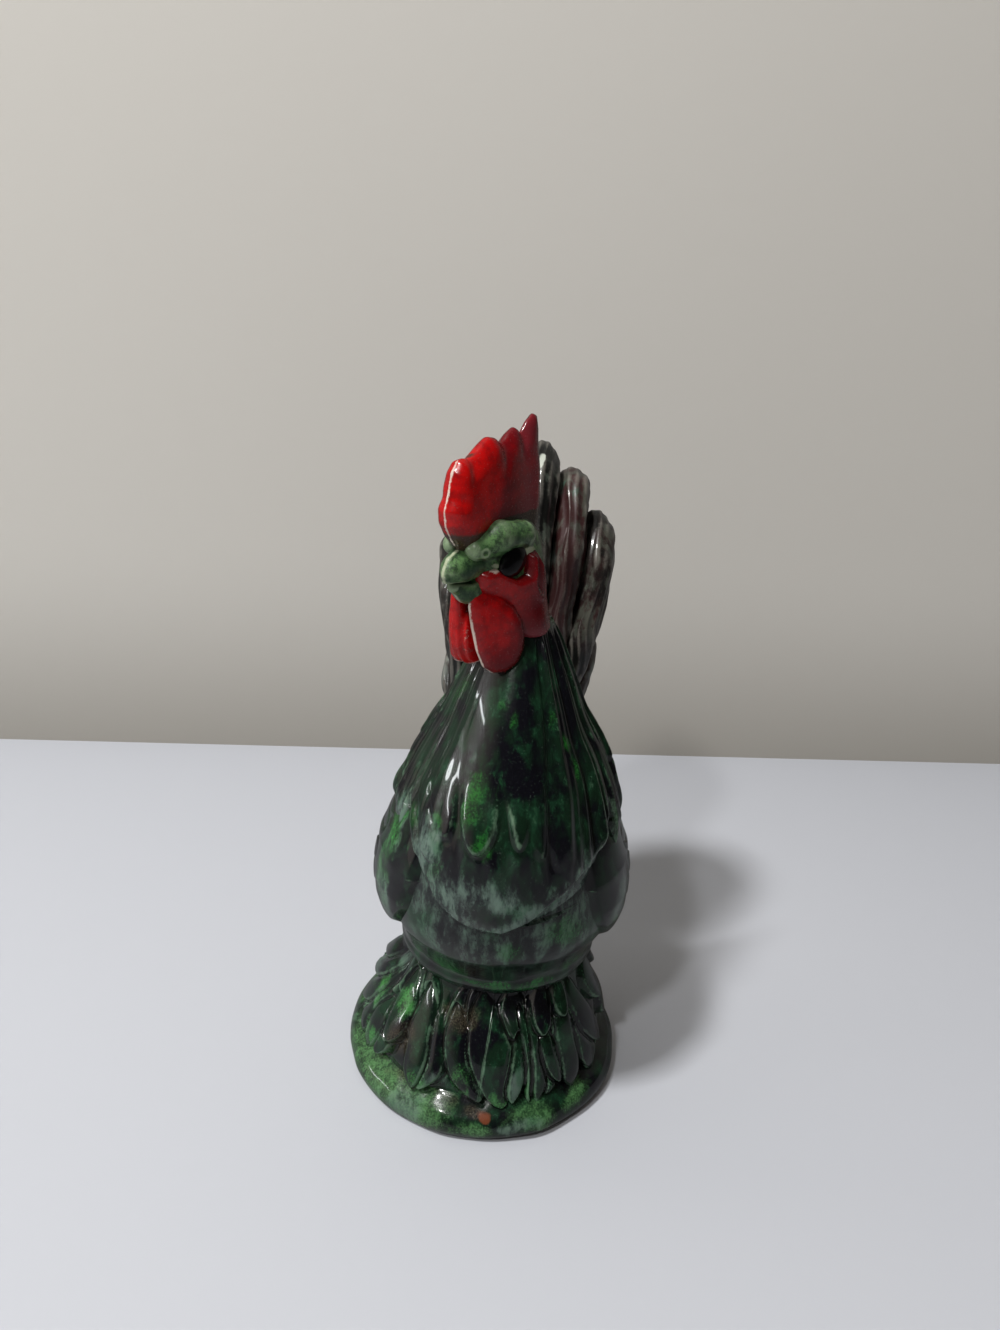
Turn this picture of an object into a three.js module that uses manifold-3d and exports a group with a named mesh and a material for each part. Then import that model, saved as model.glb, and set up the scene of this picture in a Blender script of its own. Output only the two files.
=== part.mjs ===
// Glazed ceramic rooster standing on a round base.
// Millimetres, +Z up, the bird faces -Y and its left side is +X.
// Every piece is a clay form of its own; where two forms meet, one is cut back to the other with a seam.
import * as THREE from 'three';
import { mergeVertices } from 'three/addons/utils/BufferGeometryUtils.js';
import Module from 'manifold-3d';

// Clay
const SEAM = 0.3; // clear gap where one piece is luted to its neighbour
const WALL = 4.5; // thickness of the hollow castings

// Base
const BASE_RADIUS = 43.5;
const RIM_HEIGHT = 8;
const RIM_ROUNDING = 2.5;
const MOUND_HEIGHT = 38;
const MOUND_FOOT_RADIUS = 35;
const MOUND_TOP_RADIUS = 26;
const BASE_OFFSET = 2.9; // the base's centre lies this far to the bird's right

// Feathered thighs that drape over the mound
const THIGH_FOOT_RADIUS = 36.8;
const THIGH_TOP_RADIUS = 29.6;
const THIGH_HEIGHT = 43;
const LEAF_LIFT = 3.4; // how far a thigh feather stands off the thigh

// Body
const BODY_HALF_WIDTH = 34;
const BODY_FRONT = 35.6;
const BODY_BACK = 42;
const STUMP_HEIGHT = 132; // top of the body's neck stump, inside the hackle
const STUMP_RADIUS = 7;
const HOLLOW_HEIGHT = 106; // top of the hollow inside the body

// Hackle, the cape of neck feathers
const HACKLE_HALF_WIDTH = 33.2;
const HACKLE_FRONT = 39.8;
const HACKLE_BACK = 31;
const HACKLE_X = 1;
const HACKLE_BREAST_HEIGHT = 70; // lowest edge, on the breast
const HACKLE_NAPE_RISE = 21; // how much higher the edge lies on the back
const HACKLE_LIFT = 1.8; // how far a neck feather stands off the neck
const NECK_HEIGHT = 149;
const NECK_RADIUS = 9;
const NECK_FRONT = 11.5;

// Wings
const WING_THICKNESS = 5;
const WING_FRONT = 25;
const WING_BACK = 42;
const WING_BOTTOM = 48;
const WING_TOP = 106;
const WING_RIM = 0.8; // thickness at the rim
const WING_LIFT = 2; // how far a wing feather stands off the wing

// Saddle, the feathers over the back
const SADDLE_THICKNESS = 3.2;
const SADDLE_FRONT = 12; // how far behind the bird's middle it begins
const SADDLE_BOTTOM = 76;

// Head, measured up from the top of the neck and forward from the neck's axis
const HEAD_TURN = 36; // degrees, towards the bird's right
const HEAD_X = -0.9;
const HEAD_HALF_WIDTH = 9;
const HEAD_FRONT = 19.5;
const HEAD_BACK = 7.5;
const HEAD_HEIGHT = 30;
const EYE_RADIUS = 4.2;
const EYE_FORWARD = 10.5;
const EYE_UP = 19.3;
const EYE_PROUD = 1.5;
const CHEEK_THICKNESS = 1.8;
const LOBE_DROP = 1; // lowest point of the ear lobe above the neck's top

// Beak
const BEAK_REACH = 30.5;
const BEAK_ROOT = 16.5;
const BEAK_HALF_WIDTH = 4.8;
const BEAK_UPPER_HALF_DEPTH = 3.7;
const BEAK_LOWER_HALF_DEPTH = 2.6;
const MOUTH_UP = 16.6;
const BEAK_HOOK = 2.4; // how far the tip drops below the bill

// Comb
const COMB_THICKNESS = 6.4;
const COMB_ROUNDING = 2.2;
const COMB_FRONT = 31.5;
const COMB_LENGTH = 36;
const COMB_ROOT = 22.5;
const COMB_HEIGHT = 32;

// Wattles
const WATTLE_THICKNESS = 5.4;
const WATTLE_ROUNDING = 2;
const WATTLE_LENGTH = 20;
const WATTLE_HEIGHT = 21;
const WATTLE_FRONT = 24.5;
const WATTLE_SPLAY = 0.28; // sideways swing for each millimetre of length
const WATTLE_DROP = 8.5; // below the neck's top

// Tail
const TAIL_X = 0.6;
const TAIL_Y = 39;
const TAIL_ROOT = 94;
const TAIL_CORE_HALF_WIDTH = 17;
const TAIL_CORE_HALF_DEPTH = 18;
const TAIL_CORE_HEIGHT = 88;
const TAIL_TOP = 182; // middle of the highest plume at its crest
const PLUME_HALF_WIDTH = 7;
const PLUME_HALF_THICKNESS = 4.7;
const PLUME_SPACING = 9;
const PLUME_ARCH = 23; // how far the widest plume arches back
const RIGHT_PLUME_SPREAD = 0.9; // the right-hand plumes stand closer to the middle
const RIGHT_PLUME_DROP = 3; // and lower, by this much for each place outwards

// Domed feathers: how they rise from the root, and the share of their lift that is lost at the
// edge. The powers of its length that a feather narrows by, near the root and near the tip.
const DOME_RISE = 0.7;
const DOME_FALL = 0.75;
const LEAF_TAPER = [0.7, 0.45];
const HACKLE_TAPER = [0.4, 0.42];

const wasm = await Module();
wasm.setup();
const v2 = (x, y) => new THREE.Vector2(x, y);
const v3 = (x, y, z) => new THREE.Vector3(x, y, z);
const mix = THREE.MathUtils.lerp;

// Solids that can be joined and cut

function solid(geometry) {
  const bare = geometry.clone();
  bare.deleteAttribute('normal');
  bare.deleteAttribute('uv');
  const merged = mergeVertices(bare, 1e-4);
  const corners = merged.index.array;
  const faces = [];
  for (let i = 0; i < corners.length; i += 3) {
    const [a, b, c] = corners.slice(i, i + 3);
    if (a !== b && b !== c && c !== a) faces.push(a, b, c);
  }
  const mesh = new wasm.Mesh({
    numProp: 3,
    vertProperties: Float32Array.from(merged.attributes.position.array),
    triVerts: Uint32Array.from(faces),
  });
  return new wasm.Manifold(mesh);
}

function geometryOf(form) {
  const mesh = form.getMesh();
  const geometry = new THREE.BufferGeometry();
  geometry.setAttribute('position', new THREE.BufferAttribute(mesh.vertProperties, 3));
  geometry.setIndex(new THREE.BufferAttribute(mesh.triVerts, 1));
  return geometry;
}

// Cutting can leave crumbs of clay beside a piece; only the piece itself is kept.
function cutBack(form, ...neighbours) {
  const cut = neighbours.reduce((rest, neighbour) => rest.subtract(neighbour), form);
  const [largest] = cut.decompose().sort((a, b) => b.volume() - a.volume());
  return largest;
}

// A closed skin over rings of points that all run the same way round.
function skin(rings) {
  const sides = rings[0].length;
  const last = rings.length - 1;
  const middle = (ring) => ring.reduce((sum, p) => sum.add(p), v3(0, 0, 0)).divideScalar(sides);
  const points = [...rings.flat(), middle(rings[0]), middle(rings[last])];
  const foot = rings.length * sides;
  const faces = [];
  for (let j = 0; j < sides; j += 1) {
    const next = (j + 1) % sides;
    for (let i = 0; i < last; i += 1) {
      const a = i * sides + j;
      const b = i * sides + next;
      faces.push(a, b, b + sides, a, b + sides, a + sides);
    }
    faces.push(foot, next, j);
    faces.push(foot + 1, last * sides + j, last * sides + next);
  }
  const geometry = new THREE.BufferGeometry().setFromPoints(points);
  geometry.setIndex(faces);
  return geometry;
}

// A form built up from level stations, each with its height z, place x and y, half width, and its
// reach to the front and the back. rise lifts the back of a ring above its front.
// Relief raises the surface by the height found for an angle in degrees, a height and a radius,
// boxy above 2 squares the ring, and grow swells the whole form.
function stack(stations, options = {}) {
  const { sides = 32, steps = 12, grow = 0, relief = () => 0, boxy = 2 } = options;
  const places = new THREE.CatmullRomCurve3(stations.map((s) => v3(s.x ?? 0, s.y ?? 0, s.z)));
  const spans = new THREE.CatmullRomCurve3(stations.map((s) => v3(s.half, s.front, s.back)));
  const lifts = new THREE.CatmullRomCurve3(stations.map((s, i) => v3(s.rise ?? 0, 0, i)));
  const squared = (value) => Math.sign(value) * Math.abs(value) ** (2 / boxy);
  const rings = [];
  for (let i = 0; i <= steps; i += 1) {
    const t = i / steps;
    const place = places.getPoint(t);
    const span = spans.getPoint(t);
    const rise = lifts.getPoint(t).x;
    const ring = [];
    for (let j = 0; j < sides; j += 1) {
      const angle = (2 * Math.PI * j) / sides;
      const spread = v2(squared(Math.cos(angle)), squared(Math.sin(angle)));
      const flat = spread.clone().multiply(v2(span.x, Math.sin(angle) < 0 ? span.y : span.z));
      const height = place.z + (rise * (1 + Math.sin(angle))) / 2;
      const raised = relief(THREE.MathUtils.radToDeg(flat.angle()), height, flat.length());
      flat.addScaledVector(flat.clone().normalize(), raised).addScaledVector(spread, grow);
      ring.push(v3(place.x + flat.x, place.y + flat.y, height + grow * (2 * t - 1)));
    }
    rings.push(ring);
  }
  return solid(skin(rings));
}

// Relief of domed feathers. Each feather has the angle and the height of its root and of its tip,
// then its width and its bend.
function featherRelief(feathers, lift, [nearRoot, nearTip]) {
  const widest = nearRoot / (nearRoot + nearTip);
  const full = widest ** nearRoot * (1 - widest) ** nearTip;
  return (angle, height, radius) => {
    let top = 0;
    for (const [rootAngle, rootHeight, tipAngle, tipHeight, width, bend] of feathers) {
      const turn = (to) => THREE.MathUtils.euclideanModulo(to - rootAngle + 180, 360) - 180;
      const length = v2(THREE.MathUtils.degToRad(turn(tipAngle)) * radius, tipHeight - rootHeight);
      const ahead = length.clone().normalize();
      const away = v2(THREE.MathUtils.degToRad(turn(angle)) * radius, height - rootHeight);
      const share = away.dot(ahead) / length.length();
      if (share > 0 && share < 1) {
        const half = (width * share ** nearRoot * (1 - share) ** nearTip) / (2 * full);
        const side = away.cross(ahead) - bend * Math.sin(Math.PI * share);
        if (Math.abs(side) < half) {
          top = lift * share ** DOME_RISE * (1 - (side / half) ** 2 * DOME_FALL);
        }
      }
    }
    return top;
  };
}

// A blade swept along a curve: its width lies in the plane that it bends in, its thickness across.
function blade(path, { halfWidth, halfThickness, taper, grow = 0, steps = 12, sides = 8 }) {
  const curve = new THREE.CatmullRomCurve3(path);
  const rings = [];
  for (let i = 0; i <= steps; i += 1) {
    const t = i / steps;
    const centre = curve.getPoint(t);
    const tangent = curve.getTangent(t);
    const across = v3(1, 0, 0).addScaledVector(tangent, -tangent.x).normalize();
    const upright = tangent.clone().cross(across);
    const ring = [];
    for (let j = 0; j < sides; j += 1) {
      const angle = (2 * Math.PI * j) / sides;
      const wide = (halfWidth * taper(t) + grow) * Math.sin(angle);
      const thick = (halfThickness * taper(t) + grow) * Math.cos(angle);
      ring.push(centre.clone().addScaledVector(across, thick).addScaledVector(upright, wide));
    }
    rings.push(ring);
  }
  return solid(skin(rings));
}

// A smooth closed rim through [forward, up] points, as seen from the bird's left.
function rimThrough(outline, segments) {
  const points = outline.map(([forward, up]) => v2(-forward, up));
  return new THREE.SplineCurve([...points, points[0]]).getPoints(segments).slice(1);
}

// A flat plate inside an outline, standing lengthwise in the bird's midplane.
function plate(outline, { thickness, x = 0, segments = 28 }) {
  const shape = new THREE.Shape(rimThrough(outline, segments));
  const geometry = new THREE.ExtrudeGeometry(shape, { depth: thickness, bevelEnabled: false, steps: 1 });
  geometry.translate(0, 0, -thickness / 2);
  geometry.applyMatrix4(new THREE.Matrix4().makeBasis(v3(0, 1, 0), v3(0, 0, 1), v3(1, 0, 0)));
  geometry.translate(x, 0, 0);
  return solid(geometry);
}

// A plump lobe inside a bulging outline, round at its edge, standing like a plate whose rear end
// swings out from the midplane by the splay.
function lobe(outline, { thickness, rounding, x, splay, grow = 0, segments = 22, layers = 4 }) {
  const rim = rimThrough(outline, segments);
  const middle = rim.reduce((sum, p) => sum.add(p), v2(0, 0)).divideScalar(rim.length);
  const rings = [];
  for (let i = 0; i <= layers; i += 1) {
    const angle = Math.PI * (i / layers - 0.5);
    const inset = rounding * (1 - Math.cos(angle)) - grow;
    const offset = Math.sign(angle) * (thickness / 2 - rounding + grow) + rounding * Math.sin(angle);
    rings.push(rim.map((point) => {
      const spoke = point.clone().sub(middle);
      const place = middle.clone().addScaledVector(spoke, 1 - inset / spoke.length());
      return v3(x + offset + splay * (place.x + outline[0][0]), place.x, place.y);
    }));
  }
  return solid(skin(rings));
}

function moved(form, matrix) {
  return solid(geometryOf(form).applyMatrix4(matrix));
}

// Base: a hollow cast foot, open below, with a rim and a mound that is open into the body

function turned(outline) {
  const geometry = new THREE.LatheGeometry(outline.getPoints(3), 40);
  geometry.rotateX(Math.PI / 2);
  geometry.translate(-BASE_OFFSET, 0, 0);
  return solid(geometry);
}

// The base without its hollow; inset shrinks it to the wall's inner face.
function baseSolid(inset = 0) {
  const rim = BASE_RADIUS - inset;
  const top = RIM_HEIGHT - inset;
  const crest = MOUND_HEIGHT - inset;
  const bulge = mix(MOUND_FOOT_RADIUS, MOUND_TOP_RADIUS, 0.25) - inset;
  const outline = new THREE.Path();
  outline.moveTo(0, 0);
  outline.lineTo(rim - RIM_ROUNDING, 0);
  outline.quadraticCurveTo(rim, 0, rim, RIM_ROUNDING);
  outline.quadraticCurveTo(rim, top, rim - RIM_ROUNDING, top);
  outline.lineTo(MOUND_FOOT_RADIUS - inset, top);
  outline.quadraticCurveTo(bulge, mix(top, crest, 0.7), MOUND_TOP_RADIUS - inset, crest);
  outline.lineTo(0, crest);
  return turned(outline);
}

// The hollow runs from below the foot ring up through the mound's top.
function baseHollow() {
  const floor = -1;
  const foot = BASE_RADIUS - RIM_ROUNDING - WALL;
  const crest = MOUND_HEIGHT + 1;
  const bulge = mix(MOUND_FOOT_RADIUS, MOUND_TOP_RADIUS, 0.25) - WALL;
  const outline = new THREE.Path();
  outline.moveTo(0, floor);
  outline.lineTo(foot, floor);
  outline.lineTo(foot - 1, RIM_HEIGHT - WALL);
  outline.lineTo(MOUND_FOOT_RADIUS - WALL, RIM_HEIGHT);
  outline.quadraticCurveTo(bulge, mix(RIM_HEIGHT, MOUND_HEIGHT, 0.7), MOUND_TOP_RADIUS - WALL, crest);
  outline.lineTo(0, crest);
  return turned(outline);
}

// Body: an egg with a neck stump, hollow and open at its seat on the mound

// Each row: share of the height, then shares of the half width, the front and the back.
const BODY_ROWS = [
  [0, 0.8, 0.66, 0.66],
  [0.08, 0.91, 0.84, 0.84],
  [0.2, 0.98, 0.97, 0.96],
  [0.32, 1, 1, 1],
  [0.45, 0.94, 0.98, 0.97],
  [0.58, 0.77, 0.86, 0.83],
  [0.71, 0.54, 0.67, 0.55],
];

function bodyStations(inset) {
  const seat = MOUND_HEIGHT + SEAM;
  return BODY_ROWS.map(([up, wide, fore, aft]) => ({
    z: mix(seat, STUMP_HEIGHT, up),
    half: BODY_HALF_WIDTH * wide - inset,
    front: BODY_FRONT * fore - inset,
    back: BODY_BACK * aft - inset,
  }));
}

function bodyForm(grow = 0, fine = {}) {
  const shoulder = { half: STUMP_RADIUS + 6, front: STUMP_RADIUS + 10, back: STUMP_RADIUS + 6 };
  const stump = [
    { z: mix(HOLLOW_HEIGHT, STUMP_HEIGHT, 0.5), ...shoulder },
    { z: STUMP_HEIGHT, half: STUMP_RADIUS, front: STUMP_RADIUS + 4, back: STUMP_RADIUS },
  ];
  return stack([...bodyStations(0), ...stump], { steps: 13, grow, ...fine });
}

function bodyHollow() {
  const rows = bodyStations(WALL).filter(({ z }) => z < HOLLOW_HEIGHT - WALL);
  const mouth = { ...rows[0], z: MOUND_HEIGHT - WALL };
  const last = rows[rows.length - 1];
  const vault = { z: HOLLOW_HEIGHT, half: last.half / 3, front: last.front / 3, back: last.back / 3 };
  return stack([mouth, ...rows, vault], { sides: 20, steps: 6 });
}

// A row of like feathers round a form, that lean and lengthen by turns.
function featherRow(count, { first, turn, root, tip, width }) {
  return Array.from({ length: count }, (_, k) => {
    const angle = first + turn * k;
    const wave = Math.sin(2.4 * k);
    return [angle, root, angle + 4 * wave, tip + 1.4 * wave, width - wave, wave];
  });
}

// Thighs: an apron of leaf-shaped feathers, parted in the bird's midplane

// Each thigh feather: root angle and height, tip angle and height, width, bend. -90 is the front.
const THIGH_FEATHERS = [
  ...featherRow(12, { first: -260, turn: 29, root: 34, tip: 12, width: 10.7 }),
  ...featherRow(12, { first: -246, turn: 29, root: 43, tip: 26, width: 10.7 }),
  [-154, 36, -168, 9, 9, 0.6],
  [-155, 39, -180, 14.5, 9, 0.6],
  [-158, 42, -187, 22, 9, 0],
  [-165, 43, -197, 26, 8.5, 0],
  [-148, 29, -156, 8.6, 9.5, 0.8],
  [-149, 43, -141.5, 28.5, 9, 0],
  [-142, 39, -138.6, 18, 10, -0.5],
  [-131, 43.5, -123, 27, 5.6, -0.4],
  [-127, 39, -119, 11, 9.5, 0.5],
  [-107, 37, -90, 11.5, 11, 1],
  [-98.5, 43, -94.6, 31, 5.2, 0],
  [-92.5, 42, -81, 9.8, 13, -0.6],
  [-71, 31, -77, 11, 7, -0.8],
  [-68.5, 37, -67.3, 8.8, 6, -1],
  [-63.5, 37, -63.5, 8.6, 6.5, -1],
  [-58, 32, -52, 13.5, 7, 0.4],
  [-54, 43, -60, 28.5, 7, -0.6],
  [-47, 41, -45, 8.6, 9, -0.8],
  [-44, 44, -46.6, 31.5, 6.4, -0.4],
  [-37, 39, -30, 8.8, 10, -0.8],
  [-36, 42, -23, 15, 9, 0.6],
];

function thighApron(grow = 0) {
  const low = RIM_HEIGHT + SEAM;
  const relief = featherRelief(THIGH_FEATHERS, LEAF_LIFT, LEAF_TAPER);
  const ring = (up, drawn, shift) => {
    const radius = mix(THIGH_FOOT_RADIUS, THIGH_TOP_RADIUS, drawn);
    const place = { z: mix(low, THIGH_HEIGHT, up), x: -BASE_OFFSET * shift };
    return { ...place, half: radius, front: radius, back: radius };
  };
  return stack([
    ring(0, 0, 1),
    ring(0.16, 0, 1),
    ring(0.4, 0.28, 0.8),
    ring(0.65, 0.7, 0.6),
    ring(0.85, 0.95, 0.45),
    ring(1, 1, 0.4),
  ], { sides: 120, steps: 10, grow, relief });
}

// Everything on one side of the bird's midplane, and half a seam beyond it.
function halfSpace(side) {
  const size = 4 * BASE_RADIUS + NECK_HEIGHT;
  const box = new THREE.BoxGeometry(size, size, size);
  box.translate((side * (size - SEAM)) / 2, 0, 0);
  return solid(box);
}

// Hackle: a bell of long feathers round the neck, lowest on the breast

// Each row: share of the height, then how far the width, front and back have drawn in to the neck.
const HACKLE_ROWS = [
  [0, 0.06, 0.07, 0],
  [0.07, 0.01, 0.02, -0.04],
  [0.18, 0, 0, 0],
  [0.32, 0.14, 0.08, 0.14],
  [0.45, 0.31, 0.22, 0.34],
  [0.6, 0.52, 0.4, 0.52],
  [0.73, 0.67, 0.56, 0.66],
  [0.85, 0.81, 0.75, 0.82],
  [1, 1, 1, 1],
];

// Each neck feather, as for the thighs.
const HACKLE_FEATHERS = [
  ...featherRow(11, { first: -6, turn: 17.5, root: 122, tip: 95, width: 12.5 }),
  ...featherRow(11, { first: 3, turn: 17.5, root: 132, tip: 106, width: 10.5 }),
  [-186, 119, -180, 90, 12, 0.8],
  [-175, 119, -167, 88, 12, 0.9],
  [-164, 120, -153, 86, 12, 1],
  [-20, 119, -14, 92, 12, -0.8],
  [-32, 119, -25, 89, 12, -0.9],
  [-46, 120, -38, 87, 12, -1],
  [-152, 121, -139, 84.5, 12.5, 1.2],
  [-58, 121, -50, 86, 12, -1],
  [-143, 122, -127, 87.5, 14, 1.5],
  [-68, 122, -62, 86.5, 12.5, -1],
  [-138, 124, -120, 95.5, 13.5, 1.2],
  [-84, 122, -76, 94, 13.5, -1.2],
  [-107, 118, -100, 93, 13.5, 0.4],
];

function hackleForm(grow = 0) {
  const stations = HACKLE_ROWS.map(([up, wide, fore, aft]) => ({
    z: mix(HACKLE_BREAST_HEIGHT, NECK_HEIGHT, up),
    x: HACKLE_X,
    half: mix(HACKLE_HALF_WIDTH, NECK_RADIUS, wide),
    front: mix(HACKLE_FRONT, NECK_FRONT, fore),
    back: mix(HACKLE_BACK, NECK_RADIUS, aft),
    rise: HACKLE_NAPE_RISE * (1 - up),
  }));
  const relief = featherRelief(HACKLE_FEATHERS, HACKLE_LIFT, HACKLE_TAPER);
  return stack(stations, { sides: 90, steps: 18, grow, relief });
}

// Wings and saddle: skins that follow the body inside an outline seen from the side

function bodySkin(outline, thickness, { side = 0, grow = 0, fine = {} }) {
  const reach = 3 * BODY_HALF_WIDTH;
  const x = side * (reach / 2 + STUMP_RADIUS);
  const blank = plate(outline, { thickness: reach, x });
  return blank.intersect(bodyForm(SEAM + thickness + grow, fine)).subtract(bodyForm(SEAM - grow));
}

// Feathers of a wing: the first row of coverts, then the long flight feathers over their ends.
const WING_FEATHERS = [
  ...Array.from({ length: 6 }, (_, k) => [-8, 98 - 8 * k, 22, 93 - 8 * k, 9, 0]),
  ...Array.from({ length: 8 }, (_, k) => [4 * k - 12, 88 - 5 * k, 68 - 3.5 * k, 84 - 4.4 * k, 8.2, 0]),
];

// A wing's thickness: full in its middle, falling off to the rim, with the feathers on top.
function wingDepth(outline, side) {
  const rim = rimThrough(outline, 120);
  const middle = rim.reduce((sum, p) => sum.add(p), v2(0, 0)).divideScalar(rim.length);
  const spokes = rim.map((point) => point.clone().sub(middle));
  const feathers = featherRelief(WING_FEATHERS, WING_LIFT, HACKLE_TAPER);
  return (angle, height, radius) => {
    const away = v2(radius * Math.sin(THREE.MathUtils.degToRad(angle)), height).sub(middle);
    const facing = (spoke) => away.dot(spoke) / spoke.length();
    const nearest = spokes.reduce((best, spoke) => (facing(spoke) > facing(best) ? spoke : best));
    const share = Math.min(away.length() / nearest.length(), 1);
    const lifted = feathers(side > 0 ? angle : 180 - angle, height, radius);
    return WING_RIM + (WING_THICKNESS - WING_RIM + lifted) * (1 - share ** 3.2) ** 0.55;
  };
}

function wingForm(side) {
  const forward = (share) => mix(WING_FRONT, -WING_BACK, share);
  const up = (share) => mix(WING_BOTTOM, WING_TOP, share);
  const outline = [
    [forward(0), up(0.5)],
    [forward(0.08), up(0.86)],
    [forward(0.3), up(1)],
    [forward(0.62), up(0.88)],
    [forward(0.92), up(0.66)],
    [forward(1), up(0.46)],
    [forward(0.88), up(0.28)],
    [forward(0.66), up(0.12)],
    [forward(0.36), up(0)],
    [forward(0.12), up(0.14)],
  ];
  const depth = wingDepth(outline, side);
  return bodySkin(outline, 0, { side, fine: { sides: 96, steps: 36, relief: depth } });
}

function saddleForm(grow = 0) {
  const high = HACKLE_BREAST_HEIGHT + 2 * HACKLE_NAPE_RISE;
  const outline = [
    [-SADDLE_FRONT, high],
    [-SADDLE_FRONT - 4, mix(SADDLE_BOTTOM, high, 0.45)],
    [-mix(SADDLE_FRONT, BODY_BACK, 0.45), SADDLE_BOTTOM + 4],
    [-mix(SADDLE_FRONT, BODY_BACK, 0.75), SADDLE_BOTTOM],
    [-BODY_BACK - 12, SADDLE_BOTTOM],
    [-BODY_BACK - 12, high],
  ];
  return bodySkin(outline, SADDLE_THICKNESS + WING_THICKNESS, { grow });
}

// Head, in its own frame: the neck's top is the origin and the beak points along -Y

const HEAD_ROWS = [
  [0, 0.98, 1.1, 0.55],
  [0.2, 1.02, 1.1, 0.74],
  [0.42, 1.04, 1.05, 0.95],
  [0.64, 1, 0.8, 1],
  [0.82, 0.86, 0.5, 0.98],
  [0.94, 0.6, 0.25, 0.86],
  [1, 0.3, 0.05, 0.6],
];

function headForm(grow = 0) {
  const stations = HEAD_ROWS.map(([up, wide, aft, fore]) => ({
    z: mix(SEAM, HEAD_HEIGHT, up),
    half: HEAD_HALF_WIDTH * wide,
    front: HEAD_FRONT * fore,
    back: HEAD_BACK * aft,
  }));
  return stack(stations, { sides: 24, steps: 8, grow, boxy: 2.5 });
}

function eyeForm(side, grow = 0) {
  const narrowing = 1 - (EYE_FORWARD / HEAD_FRONT) ** 2.5;
  const across = HEAD_HALF_WIDTH * narrowing ** (1 / 2.5) - EYE_RADIUS + EYE_PROUD;
  const ball = new THREE.SphereGeometry(EYE_RADIUS + grow, 12, 8);
  ball.rotateX(Math.PI / 2);
  ball.translate(side * across, -EYE_FORWARD, EYE_UP);
  return solid(ball);
}

function cheekForm(side, grow = 0) {
  const lobeForward = 5;
  const outline = [
    [BEAK_ROOT + 3, MOUTH_UP + 1.5],
    [EYE_FORWARD + EYE_RADIUS, EYE_UP - EYE_RADIUS + 1],
    [EYE_FORWARD - EYE_RADIUS, EYE_UP - EYE_RADIUS + 1],
    [EYE_FORWARD - EYE_RADIUS - 3, EYE_UP + 2],
    [EYE_FORWARD - EYE_RADIUS - 6, EYE_UP + 3],
    [-2, mix(LOBE_DROP, EYE_UP, 0.6)],
    [lobeForward - 5, LOBE_DROP + 3],
    [lobeForward, LOBE_DROP],
    [lobeForward + 5, LOBE_DROP + 3],
    [lobeForward + 9, mix(LOBE_DROP, MOUTH_UP, 0.3)],
    [BEAK_ROOT + 1, mix(LOBE_DROP, MOUTH_UP, 0.45)],
    [BEAK_ROOT + 4, mix(LOBE_DROP, MOUTH_UP, 0.75)],
  ];
  const reach = 3 * HEAD_HALF_WIDTH;
  const blank = plate(outline, { thickness: reach, x: side * (reach / 2 + 2) });
  return blank.intersect(headForm(SEAM + CHEEK_THICKNESS + grow));
}

function upperBeakForm(grow = 0) {
  const path = [
    v3(0, -BEAK_ROOT, MOUTH_UP + BEAK_UPPER_HALF_DEPTH + 0.8),
    v3(0, -mix(BEAK_ROOT, BEAK_REACH, 0.5), MOUTH_UP + BEAK_UPPER_HALF_DEPTH),
    v3(0, -mix(BEAK_ROOT, BEAK_REACH, 0.82), MOUTH_UP + BEAK_UPPER_HALF_DEPTH / 2),
    v3(0, -BEAK_REACH, MOUTH_UP + 1 - BEAK_HOOK),
  ];
  const taper = (t) => Math.sqrt(1.03 - t ** 2);
  const size = { halfWidth: BEAK_UPPER_HALF_DEPTH, halfThickness: BEAK_HALF_WIDTH };
  return blade(path, { ...size, taper, grow, steps: 10, sides: 12 });
}

function lowerBeakForm(grow = 0) {
  const path = [
    v3(0, -BEAK_ROOT + 1, MOUTH_UP - BEAK_LOWER_HALF_DEPTH - 1),
    v3(0, -mix(BEAK_ROOT, BEAK_REACH, 0.5), MOUTH_UP - BEAK_LOWER_HALF_DEPTH - 0.6),
    v3(0, -mix(BEAK_ROOT, BEAK_REACH, 0.8), MOUTH_UP - BEAK_LOWER_HALF_DEPTH),
  ];
  const taper = (t) => Math.sqrt(1.03 - t ** 2);
  const size = { halfWidth: BEAK_LOWER_HALF_DEPTH, halfThickness: BEAK_HALF_WIDTH - 0.6 };
  return blade(path, { ...size, taper, grow, steps: 8, sides: 12 });
}

// Comb outline: shares of the comb's length back from its front, and of its height.
const COMB_POINTS = [
  [0.2, 0],
  [0.07, 0.12],
  [0, 0.28],
  [0.02, 0.4],
  [0.08, 0.5],
  [0.03, 0.62],
  [0.08, 0.72],
  [0.17, 0.72],
  [0.23, 0.66],
  [0.25, 0.8],
  [0.35, 0.89],
  [0.46, 0.82],
  [0.53, 0.68],
  [0.56, 0.84],
  [0.65, 0.93],
  [0.73, 0.86],
  [0.75, 0.76],
  [0.8, 0.93],
  [0.9, 1],
  [0.96, 0.86],
  [0.93, 0.55],
  [1, 0.25],
  [0.97, 0],
];

function combForm() {
  const outline = COMB_POINTS.map(([back, up]) => [
    COMB_FRONT - COMB_LENGTH * back,
    COMB_ROOT + COMB_HEIGHT * up,
  ]);
  const blank = plate(outline, { thickness: COMB_THICKNESS, segments: 50 });
  return blank.intersect(combSwell());
}

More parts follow.
